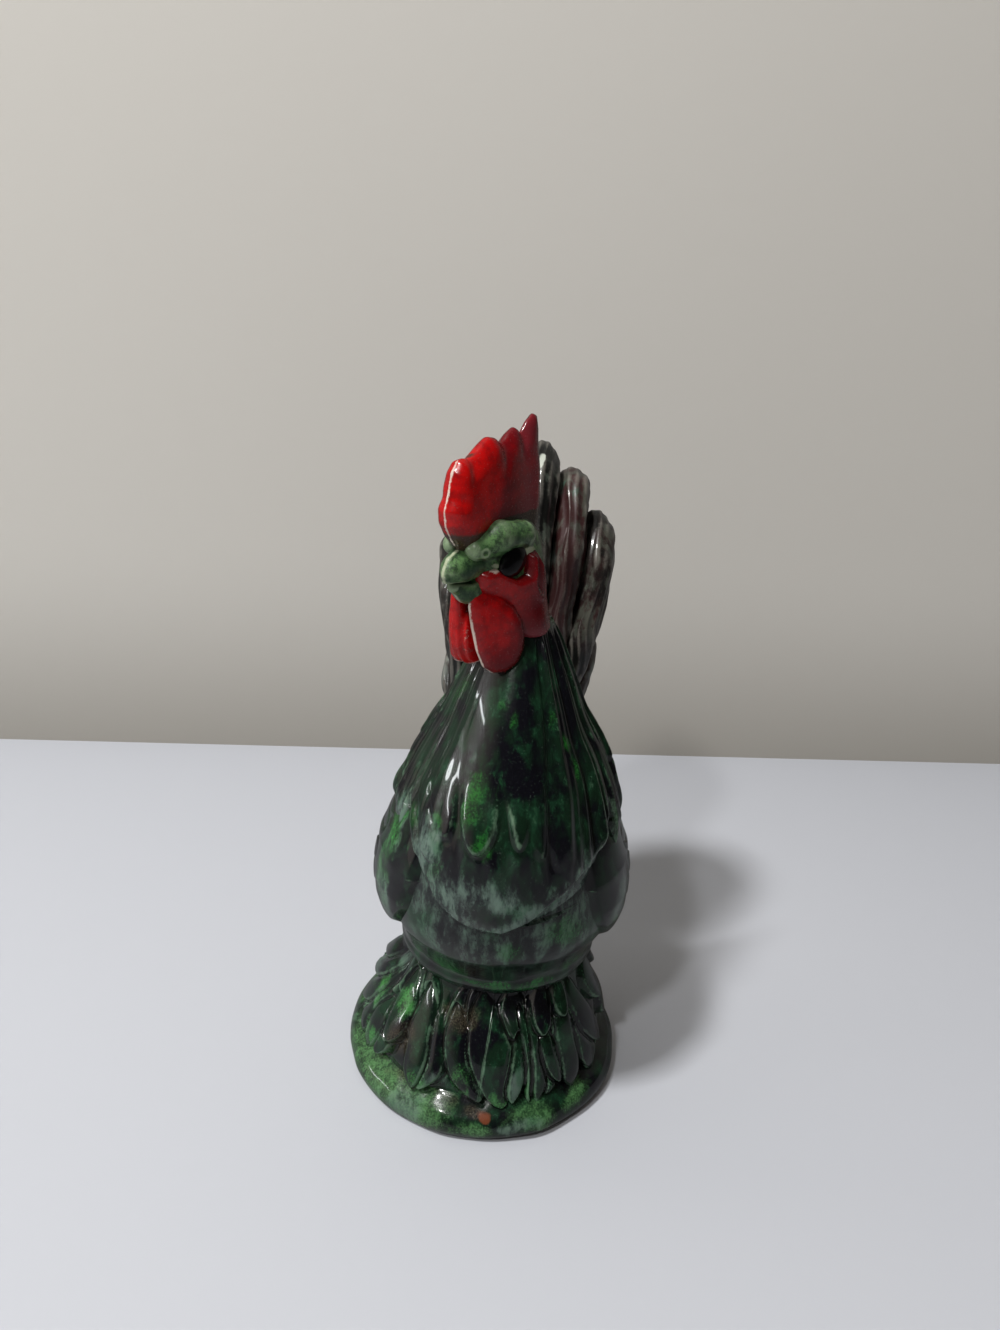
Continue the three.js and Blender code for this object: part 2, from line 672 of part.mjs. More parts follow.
// The comb is thick at its root and thins to its tips and its front and rear edges.
function combSwell() {
  const middle = COMB_LENGTH / 2 - COMB_FRONT;
  const half = COMB_THICKNESS / 2;
  const level = (up, share) => ({
    z: COMB_ROOT + COMB_HEIGHT * up,
    y: middle,
    half: half * share,
    front: COMB_LENGTH / 2 + COMB_ROUNDING,
    back: COMB_LENGTH / 2 + COMB_ROUNDING,
  });
  const levels = [level(-0.05, 1), level(0.35, 1), level(0.7, 0.85), level(1.08, 0.45)];
  return stack(levels, { sides: 24, steps: 4, boxy: 3 });
}

function wattleForm(side, grow = 0) {
  const forward = (share) => WATTLE_FRONT - WATTLE_LENGTH * share;
  const up = (share) => WATTLE_HEIGHT * share - WATTLE_DROP;
  const outline = [
    [forward(0.1), up(1)],
    [forward(0), up(0.7)],
    [forward(0.03), up(0.3)],
    [forward(0.25), up(0.04)],
    [forward(0.55), up(0)],
    [forward(0.88), up(0.14)],
    [forward(1), up(0.42)],
    [forward(0.85), up(0.75)],
    [forward(0.5), up(0.95)],
  ];
  const x = side * (WATTLE_THICKNESS + SEAM) / 2;
  const size = { thickness: WATTLE_THICKNESS, rounding: WATTLE_ROUNDING };
  return lobe(outline, { ...size, x, splay: side * WATTLE_SPLAY, grow });
}

// Tail: a core with four curved plumes on each side

function tailCoreForm() {
  const level = (up, back, wide, deep) => ({
    z: TAIL_ROOT - 8 + TAIL_CORE_HEIGHT * up,
    x: TAIL_X,
    y: TAIL_Y + back,
    half: TAIL_CORE_HALF_WIDTH * wide,
    front: TAIL_CORE_HALF_DEPTH * deep,
    back: TAIL_CORE_HALF_DEPTH * deep,
  });
  return stack([
    level(0, -2, 0.8, 0.6),
    level(0.2, 1, 0.95, 0.85),
    level(0.45, 3, 1, 1),
    level(0.68, 4, 0.95, 0.95),
    level(0.86, 4, 0.75, 0.75),
    level(1, 4, 0.3, 0.35),
  ], { sides: 24, steps: 9 });
}

// Crest and tip give the height of a plume's crown and of its hanging end below the tail's top, as
// shares of the tail's height, and reach is how far it arches back, as a share of the widest arch.
// place counts the plumes outwards from the bird's middle.
const PLUMES = [
  { name: 'top', place: 0.45, crest: 0, tip: -0.52, reach: 0.96, foot: 0 },
  { name: 'upper', place: 1.5, crest: -0.11, tip: -0.75, reach: 1, foot: 0 },
  { name: 'outer', place: 2.45, crest: -0.26, tip: -0.91, reach: 0.87, foot: 0 },
  { name: 'lower', place: 2.15, crest: -0.66, tip: -1.09, reach: 0.74, foot: 2 },
];

function plumeForm({ place, crest, tip, reach, foot }, side, grow = 0) {
  const spread = PLUME_SPACING * place * (side < 0 ? RIGHT_PLUME_SPREAD : 1);
  const across = (share) => TAIL_X + side * (spread * share + (1 - share) * 3);
  const height = TAIL_TOP - TAIL_ROOT;
  const top = TAIL_TOP + crest * height - (side < 0 ? RIGHT_PLUME_DROP * place : 0);
  const end = TAIL_TOP + tip * height;
  const rise = top - TAIL_ROOT;
  const arch = PLUME_ARCH * reach;
  const path = [
    v3(across(0.3), TAIL_Y - 6 + foot, TAIL_ROOT),
    v3(across(0.75), TAIL_Y - 9 + foot, TAIL_ROOT + rise * 0.42),
    v3(across(1), TAIL_Y - 6 + foot, TAIL_ROOT + rise * 0.78),
    v3(across(1.03), TAIL_Y + arch * 0.2, top),
    v3(across(1.03), TAIL_Y + arch * 0.68, top - 4),
    v3(across(0.98), TAIL_Y + arch * 0.98, mix(top, end, 0.42)),
    v3(across(0.85), TAIL_Y + arch * 0.94, end),
  ];
  const taper = (t) => 0.2 + 0.8 * Math.sin(Math.PI * (0.22 + 0.75 * t)) ** 0.7;
  const size = { halfWidth: PLUME_HALF_WIDTH, halfThickness: PLUME_HALF_THICKNESS };
  return blade(path, { ...size, taper, grow });
}

// Colours of the fired glaze

const GLAZE = {
  green: { color: '#1f4a2c', roughness: 0.16 },
  dark: { color: '#14241b', roughness: 0.14 },
  grey: { color: '#4a5751', roughness: 0.2 },
  red: { color: '#9e1116', roughness: 0.16 },
  sage: { color: '#4f7050', roughness: 0.24 },
  black: { color: '#050506', roughness: 0.05 },
  plume: { color: '#3a3c38', roughness: 0.2 },
};

function piece(name, form, glaze) {
  const material = new THREE.MeshStandardMaterial({ ...GLAZE[glaze], metalness: 0 });
  const mesh = new THREE.Mesh(geometryOf(form), material);
  mesh.name = name;
  return mesh;
}

// Assembly

const SIDES = [['left', 1], ['right', -1]];
const bird = new THREE.Group();
const head = new THREE.Group();
head.position.set(HEAD_X, 0, NECK_HEIGHT);
head.rotation.z = THREE.MathUtils.degToRad(-HEAD_TURN);
bird.add(head);

const body = cutBack(bodyForm(), bodyHollow());
bird.add(piece('base_mound', cutBack(baseSolid(), baseHollow()), 'green'));
bird.add(piece('body_shell', body, 'grey'));

const apron = thighApron().subtract(baseSolid(-SEAM)).subtract(bodyForm(SEAM));
for (const [word, side] of SIDES) {
  bird.add(piece(`thigh_feathers_${word}`, cutBack(apron, halfSpace(-side)), 'dark'));
}

const hackleSeat = hackleForm(SEAM);
bird.add(piece('neck_hackle', cutBack(hackleForm(), bodyForm(SEAM)), 'green'));

const thighSeat = thighApron(SEAM);
const saddleSeat = saddleForm(SEAM);
for (const [word, side] of SIDES) {
  const wing = cutBack(wingForm(side), hackleSeat, thighSeat, saddleSeat);
  bird.add(piece(`wing_${word}`, wing, 'dark'));
}
bird.add(piece('saddle_feathers', cutBack(saddleForm(), hackleSeat, thighSeat), 'dark'));

// The plumes are luted on from the outside in, each cut back to those already there.
const tailSeats = [bodyForm(SEAM), saddleSeat, hackleSeat];
for (const plume of PLUMES) {
  for (const [word, side] of SIDES) {
    const form = cutBack(plumeForm(plume, side), ...tailSeats);
    bird.add(piece(`tail_plume_${plume.name}_${word}`, form, 'plume'));
    tailSeats.push(plumeForm(plume, side, SEAM));
  }
}
bird.add(piece('tail_core', cutBack(tailCoreForm(), ...tailSeats), 'plume'));

const headPlace = new THREE.Matrix4().makeRotationZ(head.rotation.z).setPosition(head.position);
const neckSeat = moved(hackleSeat, headPlace.clone().invert());
const eyeSeats = SIDES.map(([, side]) => eyeForm(side, SEAM));
const upperBeakSeat = upperBeakForm(SEAM);
const lowerBeakSeat = lowerBeakForm(SEAM);
const skullSeat = headForm(SEAM);
head.add(piece('head', cutBack(headForm(), neckSeat, ...eyeSeats, upperBeakSeat, lowerBeakSeat), 'sage'));
head.add(piece('comb', cutBack(combForm(), skullSeat, upperBeakSeat), 'red'));
head.add(piece('beak_upper', cutBack(upperBeakForm(), ...eyeSeats), 'sage'));
head.add(piece('beak_lower', cutBack(lowerBeakForm(), upperBeakSeat), 'sage'));
const faceSeats = [skullSeat, lowerBeakSeat, upperBeakSeat, neckSeat];
for (const [word, side] of SIDES) {
  head.add(piece(`eye_${word}`, eyeForm(side), 'black'));
  head.add(piece(`wattle_${word}`, cutBack(wattleForm(side), ...faceSeats), 'red'));
  const cheek = cutBack(cheekForm(side), ...faceSeats, eyeForm(side, SEAM), wattleForm(side, SEAM));
  head.add(piece(`cheek_${word}`, cheek, 'red'));
}

// The figure stands with the middle of its footprint at the origin.
const figure = new THREE.Group();
figure.add(bird);
figure.updateMatrixWorld(true);
const bounds = new THREE.Box3().setFromObject(figure, true);
const middle = bounds.getCenter(v3(0, 0, 0));
bird.position.set(-middle.x, -middle.y, -bounds.min.z);

export default figure;
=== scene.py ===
"""A glazed ceramic rooster on a round base: the fired surface of each piece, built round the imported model."""

import math

import bpy
import numpy as np
from bpy.props import FloatProperty, FloatVectorProperty, PointerProperty
from mathutils import Matrix, Vector


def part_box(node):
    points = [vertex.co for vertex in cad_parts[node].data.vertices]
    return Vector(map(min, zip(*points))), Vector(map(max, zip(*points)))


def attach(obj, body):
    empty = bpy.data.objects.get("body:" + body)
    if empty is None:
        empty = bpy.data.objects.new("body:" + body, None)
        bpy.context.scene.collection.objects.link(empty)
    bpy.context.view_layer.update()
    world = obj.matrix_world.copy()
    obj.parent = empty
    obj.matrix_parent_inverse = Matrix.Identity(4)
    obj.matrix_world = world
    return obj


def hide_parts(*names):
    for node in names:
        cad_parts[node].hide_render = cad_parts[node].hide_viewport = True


bl_info = {
    "name": "Glazed Rooster",
    "version": (1, 0, 0),
    "blender": (4, 5, 0),
    "location": "View3D > Sidebar > Rooster",
    "description": "Models and glazes each piece of a ceramic rooster figurine",
    "category": "Add Mesh",
}

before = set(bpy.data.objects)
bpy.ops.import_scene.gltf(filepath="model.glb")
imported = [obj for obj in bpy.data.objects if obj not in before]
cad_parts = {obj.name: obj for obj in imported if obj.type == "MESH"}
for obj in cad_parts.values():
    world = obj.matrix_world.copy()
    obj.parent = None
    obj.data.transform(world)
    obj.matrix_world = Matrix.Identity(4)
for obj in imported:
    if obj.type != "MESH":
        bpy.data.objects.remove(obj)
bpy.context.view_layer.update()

# Forms are worked out in millimetres in the bird's own frame: it faces -Y and its left side is +X.
MM = 0.001
BASE_OFFSET = 2.9  # the base's middle lies this far to the bird's right
BASE_LOW, BASE_HIGH = (np.array(corner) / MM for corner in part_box("base_mound"))
BASE_RADIUS = (BASE_HIGH[0] - BASE_LOW[0]) / 2
BASE_MIDDLE = (BASE_LOW + BASE_HIGH) / 2 * (1, 1, 0)
BIRD = BASE_MIDDLE + (BASE_OFFSET, 0, 0)
NECK_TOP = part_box("neck_hackle")[1].z / MM
HEAD_TURN = math.radians(-36)
HEAD_PLACE = np.array([-0.9, 0, NECK_TOP])
SIDES = (("left", 1), ("right", -1))


def srgb(red, green, blue):
    """A colour as seen on a screen, 0 to 255, as the linear colour that a shader takes."""
    parts = np.array([red, green, blue]) / 255
    linear = np.where(parts <= 0.04045, parts / 12.92, ((parts + 0.055) / 1.055) ** 2.4)
    return (*linear.tolist(), 1.0)


class ReliefSizes(bpy.types.PropertyGroup):
    """How deeply the feathers are modelled."""

    hackle_lift: FloatProperty(
        name="Hackle lift",
        description="How far a neck feather stands off the neck at its tip",
        default=0.0018,
        unit="LENGTH",
    )
    leaf_lift: FloatProperty(
        name="Thigh lift",
        description="How far a thigh feather stands off the base at its tip",
        default=0.0034,
        unit="LENGTH",
    )
    wing_lift: FloatProperty(
        name="Wing lift",
        description="How far a wing feather stands off the wing at its tip",
        default=0.002,
        unit="LENGTH",
    )
    rib_height: FloatProperty(
        name="Tail rib",
        description="Height of the rib along a tail feather",
        default=0.0011,
        unit="LENGTH",
    )


class GlazeColours(bpy.types.PropertyGroup):
    """The colours of the fired glazes."""

    bottle: FloatVectorProperty(
        name="Bottle green", description="Green glaze where it lies thick",
        default=srgb(14, 34, 21), size=4, min=0, max=1, subtype="COLOR",
    )
    # Its colour also paints the sheen low on the breast.
    milk: FloatVectorProperty(
        name="Milky green", description="Clouded grey-green glaze",
        default=srgb(104, 126, 114), size=4, min=0, max=1, subtype="COLOR",
    )
    red: FloatVectorProperty(
        name="Red", description="Red glaze of comb, face and wattles",
        default=srgb(176, 8, 8), size=4, min=0, max=1, subtype="COLOR",
    )
    wine: FloatVectorProperty(
        name="Wine", description="Red glaze where it lies thick",
        default=srgb(92, 10, 18), size=4, min=0, max=1, subtype="COLOR",
    )
    sage: FloatVectorProperty(
        name="Sage", description="Glaze of the brow and beak",
        default=srgb(92, 128, 78), size=4, min=0, max=1, subtype="COLOR",
    )
    biscuit: FloatVectorProperty(
        name="Bare clay", description="Pale clay where the glaze is worn away",
        default=srgb(214, 200, 186), size=4, min=0, max=1, subtype="COLOR",
    )


# Shader maths

BODY_IOR, COAT_IOR, COAT_ROUGHNESS = 1.4, 1.52, 0.045
RIPPLE_HEIGHT = 0.0004  # metres


class Socket:
    """An output of a node that can stand in a sum or a product."""

    def __init__(self, shader, link):
        self.shader = shader
        self.link = link

    def __add__(self, other):
        return self.shader.math("ADD", self, other)

    __radd__ = __add__

    def __mul__(self, other):
        return self.shader.math("MULTIPLY", self, other)

    __rmul__ = __mul__

    def __sub__(self, other):
        return self.shader.math("SUBTRACT", self, other)

    def __rsub__(self, other):
        return self.shader.math("SUBTRACT", other, self)


class Shader:
    """The nodes of one material."""

    def __init__(self, name, owner=None):
        self.material = owner or bpy.data.materials.new(name)
        self.material.use_nodes = True
        self.tree = self.material.node_tree
        self.tree.nodes.clear()

    def node(self, kind, settings=None, inputs=None, output=0):
        """A node of one kind, with its settings made first, and then its sockets."""
        made = self.tree.nodes.new(kind)
        for name, value in (settings or {}).items():
            setattr(made, name, value)
        for name, value in (inputs or {}).items():
            if isinstance(value, Socket):
                self.tree.links.new(value.link, made.inputs[name])
            else:
                made.inputs[name].default_value = value
        return Socket(self, made.outputs[output]) if made.outputs else None

    def math(self, operation, *values):
        """The outcome of a sum or product of values and sockets."""
        return self.node("ShaderNodeMath", {"operation": operation}, dict(enumerate(values)))

    def field(self, name):
        """A value that the mesh carries at each of its points."""
        return self.node("ShaderNodeAttribute", {"attribute_name": name}, output="Fac")

    def noise(self, scale, detail=4.0, roughness=0.55, drawn=1.0):
        """Cloudy variation, with so many clouds to the metre, drawn out upwards."""
        place = self.node("ShaderNodeTexCoord", output="Object")
        place = self.node("ShaderNodeVectorMath", {"operation": "MULTIPLY"}, {0: place, 1: (1, 1, 1 / drawn)})
        sizes = {"Vector": place, "Scale": scale, "Detail": detail, "Roughness": roughness}
        return self.node("ShaderNodeTexNoise", inputs=sizes)

    def step(self, value, low, high):
        """0 below low, 1 above high, and smooth between them."""
        ends = {"Value": value, "From Min": low, "From Max": high}
        return self.node("ShaderNodeMapRange", {"interpolation_type": "SMOOTHSTEP"}, ends)

    def mix(self, share, first, second):
        """Colour first where share is 0 and colour second where it is 1."""
        # The node's sockets share their names between kinds of value, so they go by number.
        inputs = {0: share, 6: first, 7: second}
        return self.node("ShaderNodeMix", {"data_type": "RGBA"}, inputs, output=2)

    def wash(self, colour, where, low, high, share, tint):
        """The colour, washed over with a share of the tint as a value rises from low to high."""
        return self.mix(self.step(where, low, high) * share, colour, srgb(*tint))

    def glaze(self, colour, gloss, coat, bump=None):
        """Fired glaze over clay: a coloured body below a clear, wet-looking coat."""
        inputs = {"Base Color": colour, "Roughness": gloss, "IOR": BODY_IOR}
        inputs |= {"Coat Weight": coat, "Coat Roughness": COAT_ROUGHNESS, "Coat IOR": COAT_IOR}
        if bump is not None:
            inputs["Normal"] = bump
        surface = self.node("ShaderNodeBsdfPrincipled", inputs=inputs)
        self.node("ShaderNodeOutputMaterial", inputs={"Surface": surface})
        return self.material

    def ripple(self, height, strength):
        """The faint waviness of a poured glaze."""
        sizes = {"Height": height, "Strength": strength, "Distance": RIPPLE_HEIGHT}
        return self.node("ShaderNodeBump", inputs=sizes)


def glazes():
    """The colours that are set in the sidebar."""
    return bpy.context.scene.rooster_glazes


def green_glaze(name, bright=(44, 118, 44), milk_share=0.6, sage=(104, 134, 108), patchy=1.6):
    """Green glaze that pools black in hollows, runs emerald where it is thin and breaks pale on edges."""
    shader = Shader(name)
    clouds = shader.noise(120, detail=5, drawn=1.8)
    flow = shader.noise(330, detail=6, roughness=0.7, drawn=2.4)
    grain = shader.noise(1700, detail=3, roughness=0.8)
    bottle, bright = tuple(glazes().bottle), srgb(*bright)
    deep = shader.mix(shader.step(clouds, 0.42, 0.58), srgb(9, 9, 15), bottle)
    deep = shader.wash(deep, flow + clouds * 0.5 - 0.25, 0.5, 0.66, 0.55, (24, 62, 40))
    shaded = shader.mix(0.72, bright, bottle)
    green = shader.mix(shader.step(grain + flow * 0.8 - 0.4, 0.36, 0.64), shaded, bright)
    ragged = (flow - 0.5) * patchy + (grain - 0.5) * 0.3
    thin = shader.step(shader.field("emerald") * 0.85 + ragged - 0.05, 0.1, 1.0)
    colour = shader.mix(thin, deep, green)
    # The milky field clouds the glaze grey-green; low on the breast it is partly a painted sheen.
    milk = shader.field("milk")
    haze = shader.mix(shader.step(flow + milk * 0.12, 0.42, 0.66), srgb(28, 46, 44), tuple(glazes().milk))
    haze = shader.wash(haze, clouds, 0.5, 0.62, 0.55, (40, 92, 58))
    cloudy = shader.step(milk + flow * 1.3 + clouds * 0.9 - 1.15, 0.1, 0.9)
    colour = shader.mix(cloudy * milk_share, colour, haze)
    colour = shader.wash(colour, shader.field("pool") + flow * 0.4 - 0.2, 0.2, 0.8, 0.9, (10, 11, 9))
    edge = shader.field("crest") * 0.5 + shader.field("border") * 0.7
    edge = edge + grain * 0.8 + flow * 1.9 + clouds * 0.8 - 1.85
    colour = shader.wash(colour, edge, 0.25, 1.0, 0.62, sage)
    ground = shader.mix(shader.step(grain, 0.4, 0.65), srgb(30, 26, 19), srgb(72, 66, 52))
    earth = shader.step(shader.field("earth") + flow * 0.8 - 0.4, 0.3, 0.9)
    colour = shader.mix(earth * 0.7, colour, ground)
    colour = shader.wash(colour, shader.field("rust") + grain * 0.5 - 0.25, 0.3, 0.7, 0.8, (116, 62, 40))
    colour = shader.wash(colour, grain, 0.62, 0.74, 0.2, (130, 152, 136))
    return shader.glaze(colour, 0.14 + grain * 0.14, 0.8, shader.ripple(flow + grain * 0.5, 0.12))


def red_glaze(name):
    """Red glaze, bright where it is thin, wine-dark where it pools and worn to the clay on edges, with a
    painted mauve sheen and painted pale highlights where its fields ask.
    """
    shader = Shader(name)
    clouds = shader.noise(85, detail=4)
    flow = shader.noise(300, detail=5, roughness=0.65)
    grain = shader.noise(1600, detail=3, roughness=0.8)
    thick = shader.step(shader.field("wine") + clouds * 0.7 + flow * 0.5 - 0.6, 0.0, 0.95)
    colour = shader.mix(thick, tuple(glazes().red), tuple(glazes().wine))
    colour = shader.wash(colour, flow + grain * 0.4 - 0.2, 0.4, 0.68, 0.5, (88, 6, 10))
    # Painted sheen: a mauve reflection washed over the red where this field is high.
    colour = shader.wash(colour, shader.field("bloom") + flow * 0.4 - 0.2, 0.35, 1.2, 0.55, (126, 52, 60))
    colour = shader.wash(colour, shader.field("pool") + flow * 0.3 - 0.15, 0.2, 0.85, 0.9, (40, 4, 6))
    green = shader.field("creep") + flow * 0.6 + grain * 0.4 - 0.5
    colour = shader.wash(colour, green, 0.4, 0.85, 0.9, (44, 44, 32))
    colour = shader.wash(colour, grain, 0.64, 0.74, 0.25, (206, 120, 110))
    # Pale clay where the glaze is worn, and on the bird's right wattle painted pale highlights.
    worn_and_lit = shader.step(shader.field("wear") + grain * 0.9 + flow * 0.8 - 0.85, 0.6, 0.85)
    colour = shader.mix(worn_and_lit * 0.85, colour, tuple(glazes().biscuit))
    gloss = 0.2 + worn_and_lit * 0.3 + grain * 0.12
    return shader.glaze(colour, gloss, 0.35 - worn_and_lit * 0.25, shader.ripple(flow + grain * 0.5, 0.16))


def face_glaze(name):
    """Thin sage glaze, speckled dark, that shows the clay along its edges."""
    shader = Shader(name)
    clouds = shader.noise(190, detail=5)
    flow = shader.noise(460, detail=6, roughness=0.75)
    grain = shader.noise(2000, detail=3, roughness=0.8)
    colour = shader.mix(shader.step(clouds, 0.36, 0.64), srgb(30, 58, 34), tuple(glazes().sage))
    speck = flow * 0.8 + clouds * 0.5 + grain * 0.4 - 0.35
    colour = shader.wash(colour, speck, 0.48, 0.62, 0.85, (18, 36, 24))
    colour = shader.wash(colour, shader.field("pool") + flow * 0.5 - 0.25, 0.1, 0.6, 0.92, (10, 14, 9))
    colour = shader.wash(colour, shader.field("band") + flow * 0.3 - 0.15, 0.2, 0.8, 1, (20, 52, 40))
    colour = shader.wash(colour, shader.field("crest") + grain * 0.7 - 0.35, 0.2, 0.9, 0.6, (142, 160, 128))
    bare = shader.field("wear") + grain * 0.8 + flow * 0.3 - 0.55
    colour = shader.wash(colour, bare, 0.6, 0.95, 0.7, (182, 188, 158))
    return shader.glaze(colour, 0.26 + grain * 0.2, 0.5, shader.ripple(flow + grain * 0.6, 0.16))


def tail_glaze(name):
    """Black, wine-brown and grey-green glazes that run along the tail feathers."""
    shader = Shader(name)
    clouds = shader.noise(90, detail=5, roughness=0.6, drawn=1.5)
    flow = shader.noise(300, detail=6, roughness=0.7, drawn=2.2)
    grain = shader.noise(1700, detail=3, roughness=0.8)
    wine = shader.step(shader.field("shade") + clouds * 0.9 + flow * 0.3 - 0.6, 0.4, 0.7)
    colour = shader.mix(wine, srgb(19, 20, 18), srgb(56, 32, 32))
    colour = shader.wash(colour, clouds + flow * 1.4 - 0.7, 0.48, 0.7, 0.6, (78, 86, 76))
    teal = shader.field("emerald") * 0.8 + flow * 1.4 - 0.7
    colour = shader.wash(colour, teal, 0.3, 0.9, 0.85, (34, 104, 84))
    cloudy = shader.field("milk") + clouds * 0.7 + flow * 0.7 - 0.75
    colour = shader.wash(colour, cloudy, 0.25, 0.75, 0.75, (122, 132, 126))
    colour = shader.wash(colour, shader.field("pool") + flow * 0.4 - 0.2, 0.3, 0.9, 0.85, (10, 9, 9))
    crest = shader.field("crest") + grain * 0.7 + flow * 0.5 - 0.6
    colour = shader.wash(colour, crest, 0.15, 0.8, 0.5, (128, 124, 116))
    bare = shader.field("wear") + flow * 0.7 + grain * 0.4 - 0.5
    colour = shader.wash(colour, bare, 0.35, 0.7, 0.8, (196, 202, 190))
    colour = shader.wash(colour, grain, 0.6, 0.72, 0.22, (150, 148, 142))
    return shader.glaze(colour, 0.26 + grain * 0.18, 0.6, shader.ripple(flow + grain * 0.5, 0.14))


def eye_glaze(name):
    """Black glaze that is as bright as wet glass, faintly clouded."""
    shader = Shader(name)
    clouds = shader.noise(300, detail=3)
    colour = shader.mix(shader.step(clouds, 0.4, 0.7), srgb(3, 3, 4), srgb(12, 11, 14))
    return shader.glaze(colour, 0.16 + clouds * 0.06, 0.15)


# Mesh making


def through(rows, shares):
    """Values on smooth curves through the rows, at shares of the way from the first to the last."""
    rows = np.asarray(rows, float)
    padded = np.vstack([2 * rows[0] - rows[1], rows, 2 * rows[-1] - rows[-2]])
    place = np.clip(shares, 0, 1) * (len(rows) - 1)
    first = np.minimum(place.astype(int), len(rows) - 2)
    t = (place - first)[..., None]
    a, b, c, d = (padded[first + k] for k in range(4))
    return b + 0.5 * t * (c - a + t * (2 * a - 5 * b + 4 * c - d + t * (3 * (b - c) + d - a)))


def ease(value, low, high):
    """0 below low, 1 above high, and smooth between them."""
    t = np.clip((value - low) / (high - low), 0, 1)
    return t * t * (3 - 2 * t)


def bell(value, width):
    """1 where a value is 0, falling away smoothly over width on either side."""
    return np.exp(-((value / width) ** 2))


def wander(points, size, seed):
    """Smooth noise from about -1 to 1 that changes over size millimetres."""
    waves = np.random.default_rng(seed)
    directions = waves.normal(size=(9, 3)) / size
    phases = waves.uniform(0, 2 * math.pi, 9)
    return np.sin(points @ directions.T + phases).sum(-1) / 3


def turns(count):
    """Angles at even steps round a circle."""
    return np.arange(count) * 2 * math.pi / count


def strips(rows, columns, closed):
    """Faces between the rows of a net of points; closed joins the last column to the first."""
    across = np.arange(columns if closed else columns - 1)
    up = np.arange(rows - 1)[:, None] * columns
    here = (up + across).ravel()
    beside = (up + (across + 1) % columns).ravel()
    return np.stack([here, beside, beside + columns, here + columns], 1)


def ring_solid(net):
    """A closed solid over rings of points, with a fan over each end."""
    rows, columns, _ = net.shape
    points = np.vstack([net.reshape(-1, 3), net[0].mean(0), net[-1].mean(0)])
    j = np.arange(columns)
    beside = (j + 1) % columns
    low, high = rows * columns, rows * columns + 1
    last = (rows - 1) * columns
    fans = np.vstack([
        np.stack([np.full(columns, low), beside, j], 1),
        np.stack([np.full(columns, high), last + j, last + beside], 1),
    ])
    return points, strips(rows, columns, True), fans


def shell_solid(outer, inner):
    """A closed solid between two nets of the same layout, joined round their borders."""
    rows, columns, _ = outer.shape
    count = rows * columns
    front = strips(rows, columns, False)
    back = front[:, ::-1] + count
    index = np.arange(count).reshape(rows, columns)
    border = np.concatenate([index[0, :-1], index[:-1, -1], index[-1, :0:-1], index[:0:-1, 0]])
    ahead = np.roll(border, -1)
    walls = np.stack([border, border + count, ahead + count, ahead], 1)
    points = np.vstack([outer.reshape(-1, 3), inner.reshape(-1, 3)])
    return points, np.vstack([front, back, walls]), np.zeros((0, 3), int)


def outward(net, closed):
    """Unit normals of a net of points."""
    up = np.gradient(net, axis=0)
    if closed:
        across = np.roll(net, -1, axis=1) - np.roll(net, 1, axis=1)
    else:
        across = np.gradient(net, axis=1)
    normal = np.cross(across, up)
    return normal / np.maximum(np.linalg.norm(normal, axis=-1, keepdims=True), 1e-9)


def soften(values, passes, closed):
    """Rounds the steps in a net of values, as a coat of glaze does."""
    for _ in range(passes):
        up = np.pad(values, ((1, 1), (0, 0)), mode="edge")
        values = (up[:-2] + 2 * values + up[2:]) / 4
        side = np.pad(values, ((0, 0), (1, 1)), mode="wrap" if closed else "edge")
        values = (side[:, :-2] + 2 * values + side[:, 2:]) / 4
    return values


def normals(points, quads):
    """Unit normals at the points of a form."""
    corners = points[quads]
    face = np.cross(corners[:, 2] - corners[:, 0], corners[:, 3] - corners[:, 1])
    total = np.stack([sum(np.bincount(quads[:, c], face[:, k], len(points)) for c in range(4))
                      for k in range(3)], 1)
    return total / np.maximum(np.linalg.norm(total, axis=1, keepdims=True), 1e-9)


# A ridge this high or a hollow this deep, in millimetres, takes the whole of its glaze.
FULL_CREST, FULL_POOL = 0.06, 0.45
CREST_PASSES, POOL_PASSES = 4, 26  # of smoothing, to find the ridges and then the hollows


def relief_fields(points, quads, fans):
    """crest is high on sharp ridges and pool in hollows, both found by smoothing the form."""
    edges = np.vstack([quads[:, [0, 1]], quads[:, [1, 2]], quads[:, [2, 3]], quads[:, [3, 0]],
                       fans[:, [0, 1]], fans[:, [1, 2]], fans[:, [2, 0]]])
    a, b = edges.T
    count = len(points)
    degree = np.maximum(np.bincount(a, minlength=count) + np.bincount(b, minlength=count), 1)

    def spread(place, times):
        for _ in range(times):
            total = [np.bincount(a, place[b, k], count) + np.bincount(b, place[a, k], count)
                     for k in range(3)]
            place = (place + np.stack(total, 1) / degree[:, None]) / 2
        return place

    normal = normals(points, quads)
    near = spread(points, CREST_PASSES)
    far = spread(near, POOL_PASSES)
    crest = ((points - near) * normal).sum(1) / FULL_CREST
    pool = ((far - points) * normal).sum(1) / FULL_POOL
    return {"crest": np.clip(crest, 0, 1.5), "pool": np.clip(pool, 0, 1.5)}


SPLASH_RAGGED, SPLASH_WAVE = 1.6, 3.2  # how far a splash's edge strays, and over what length


def splashes(points, spots):
    """A field that is 1 inside each ragged (x, y, z, radius, height) spot and fades out round it."""
    stray = np.stack([wander(points, SPLASH_WAVE, seed) for seed in (51, 52, 53)], 1)
    ragged = points + SPLASH_RAGGED * stray
    field = np.zeros(len(points))
    for x, y, z, radius, height in spots:
        away = (((ragged - (x, y, z)) / (radius, radius, height)) ** 2).sum(1)
        field = np.maximum(field, np.exp(-(away**1.5)))
    return field


def in_bird(points):
    """Points of the head's own frame, in the bird's frame."""
    cos, sin = math.cos(HEAD_TURN), math.sin(HEAD_TURN)
    turn = np.array([[cos, -sin, 0], [sin, cos, 0], [0, 0, 1]])
    return points @ turn.T + HEAD_PLACE


FOOT_RISE = 0.5, 4.0  # the foot is flat below the first height and uneven above the second


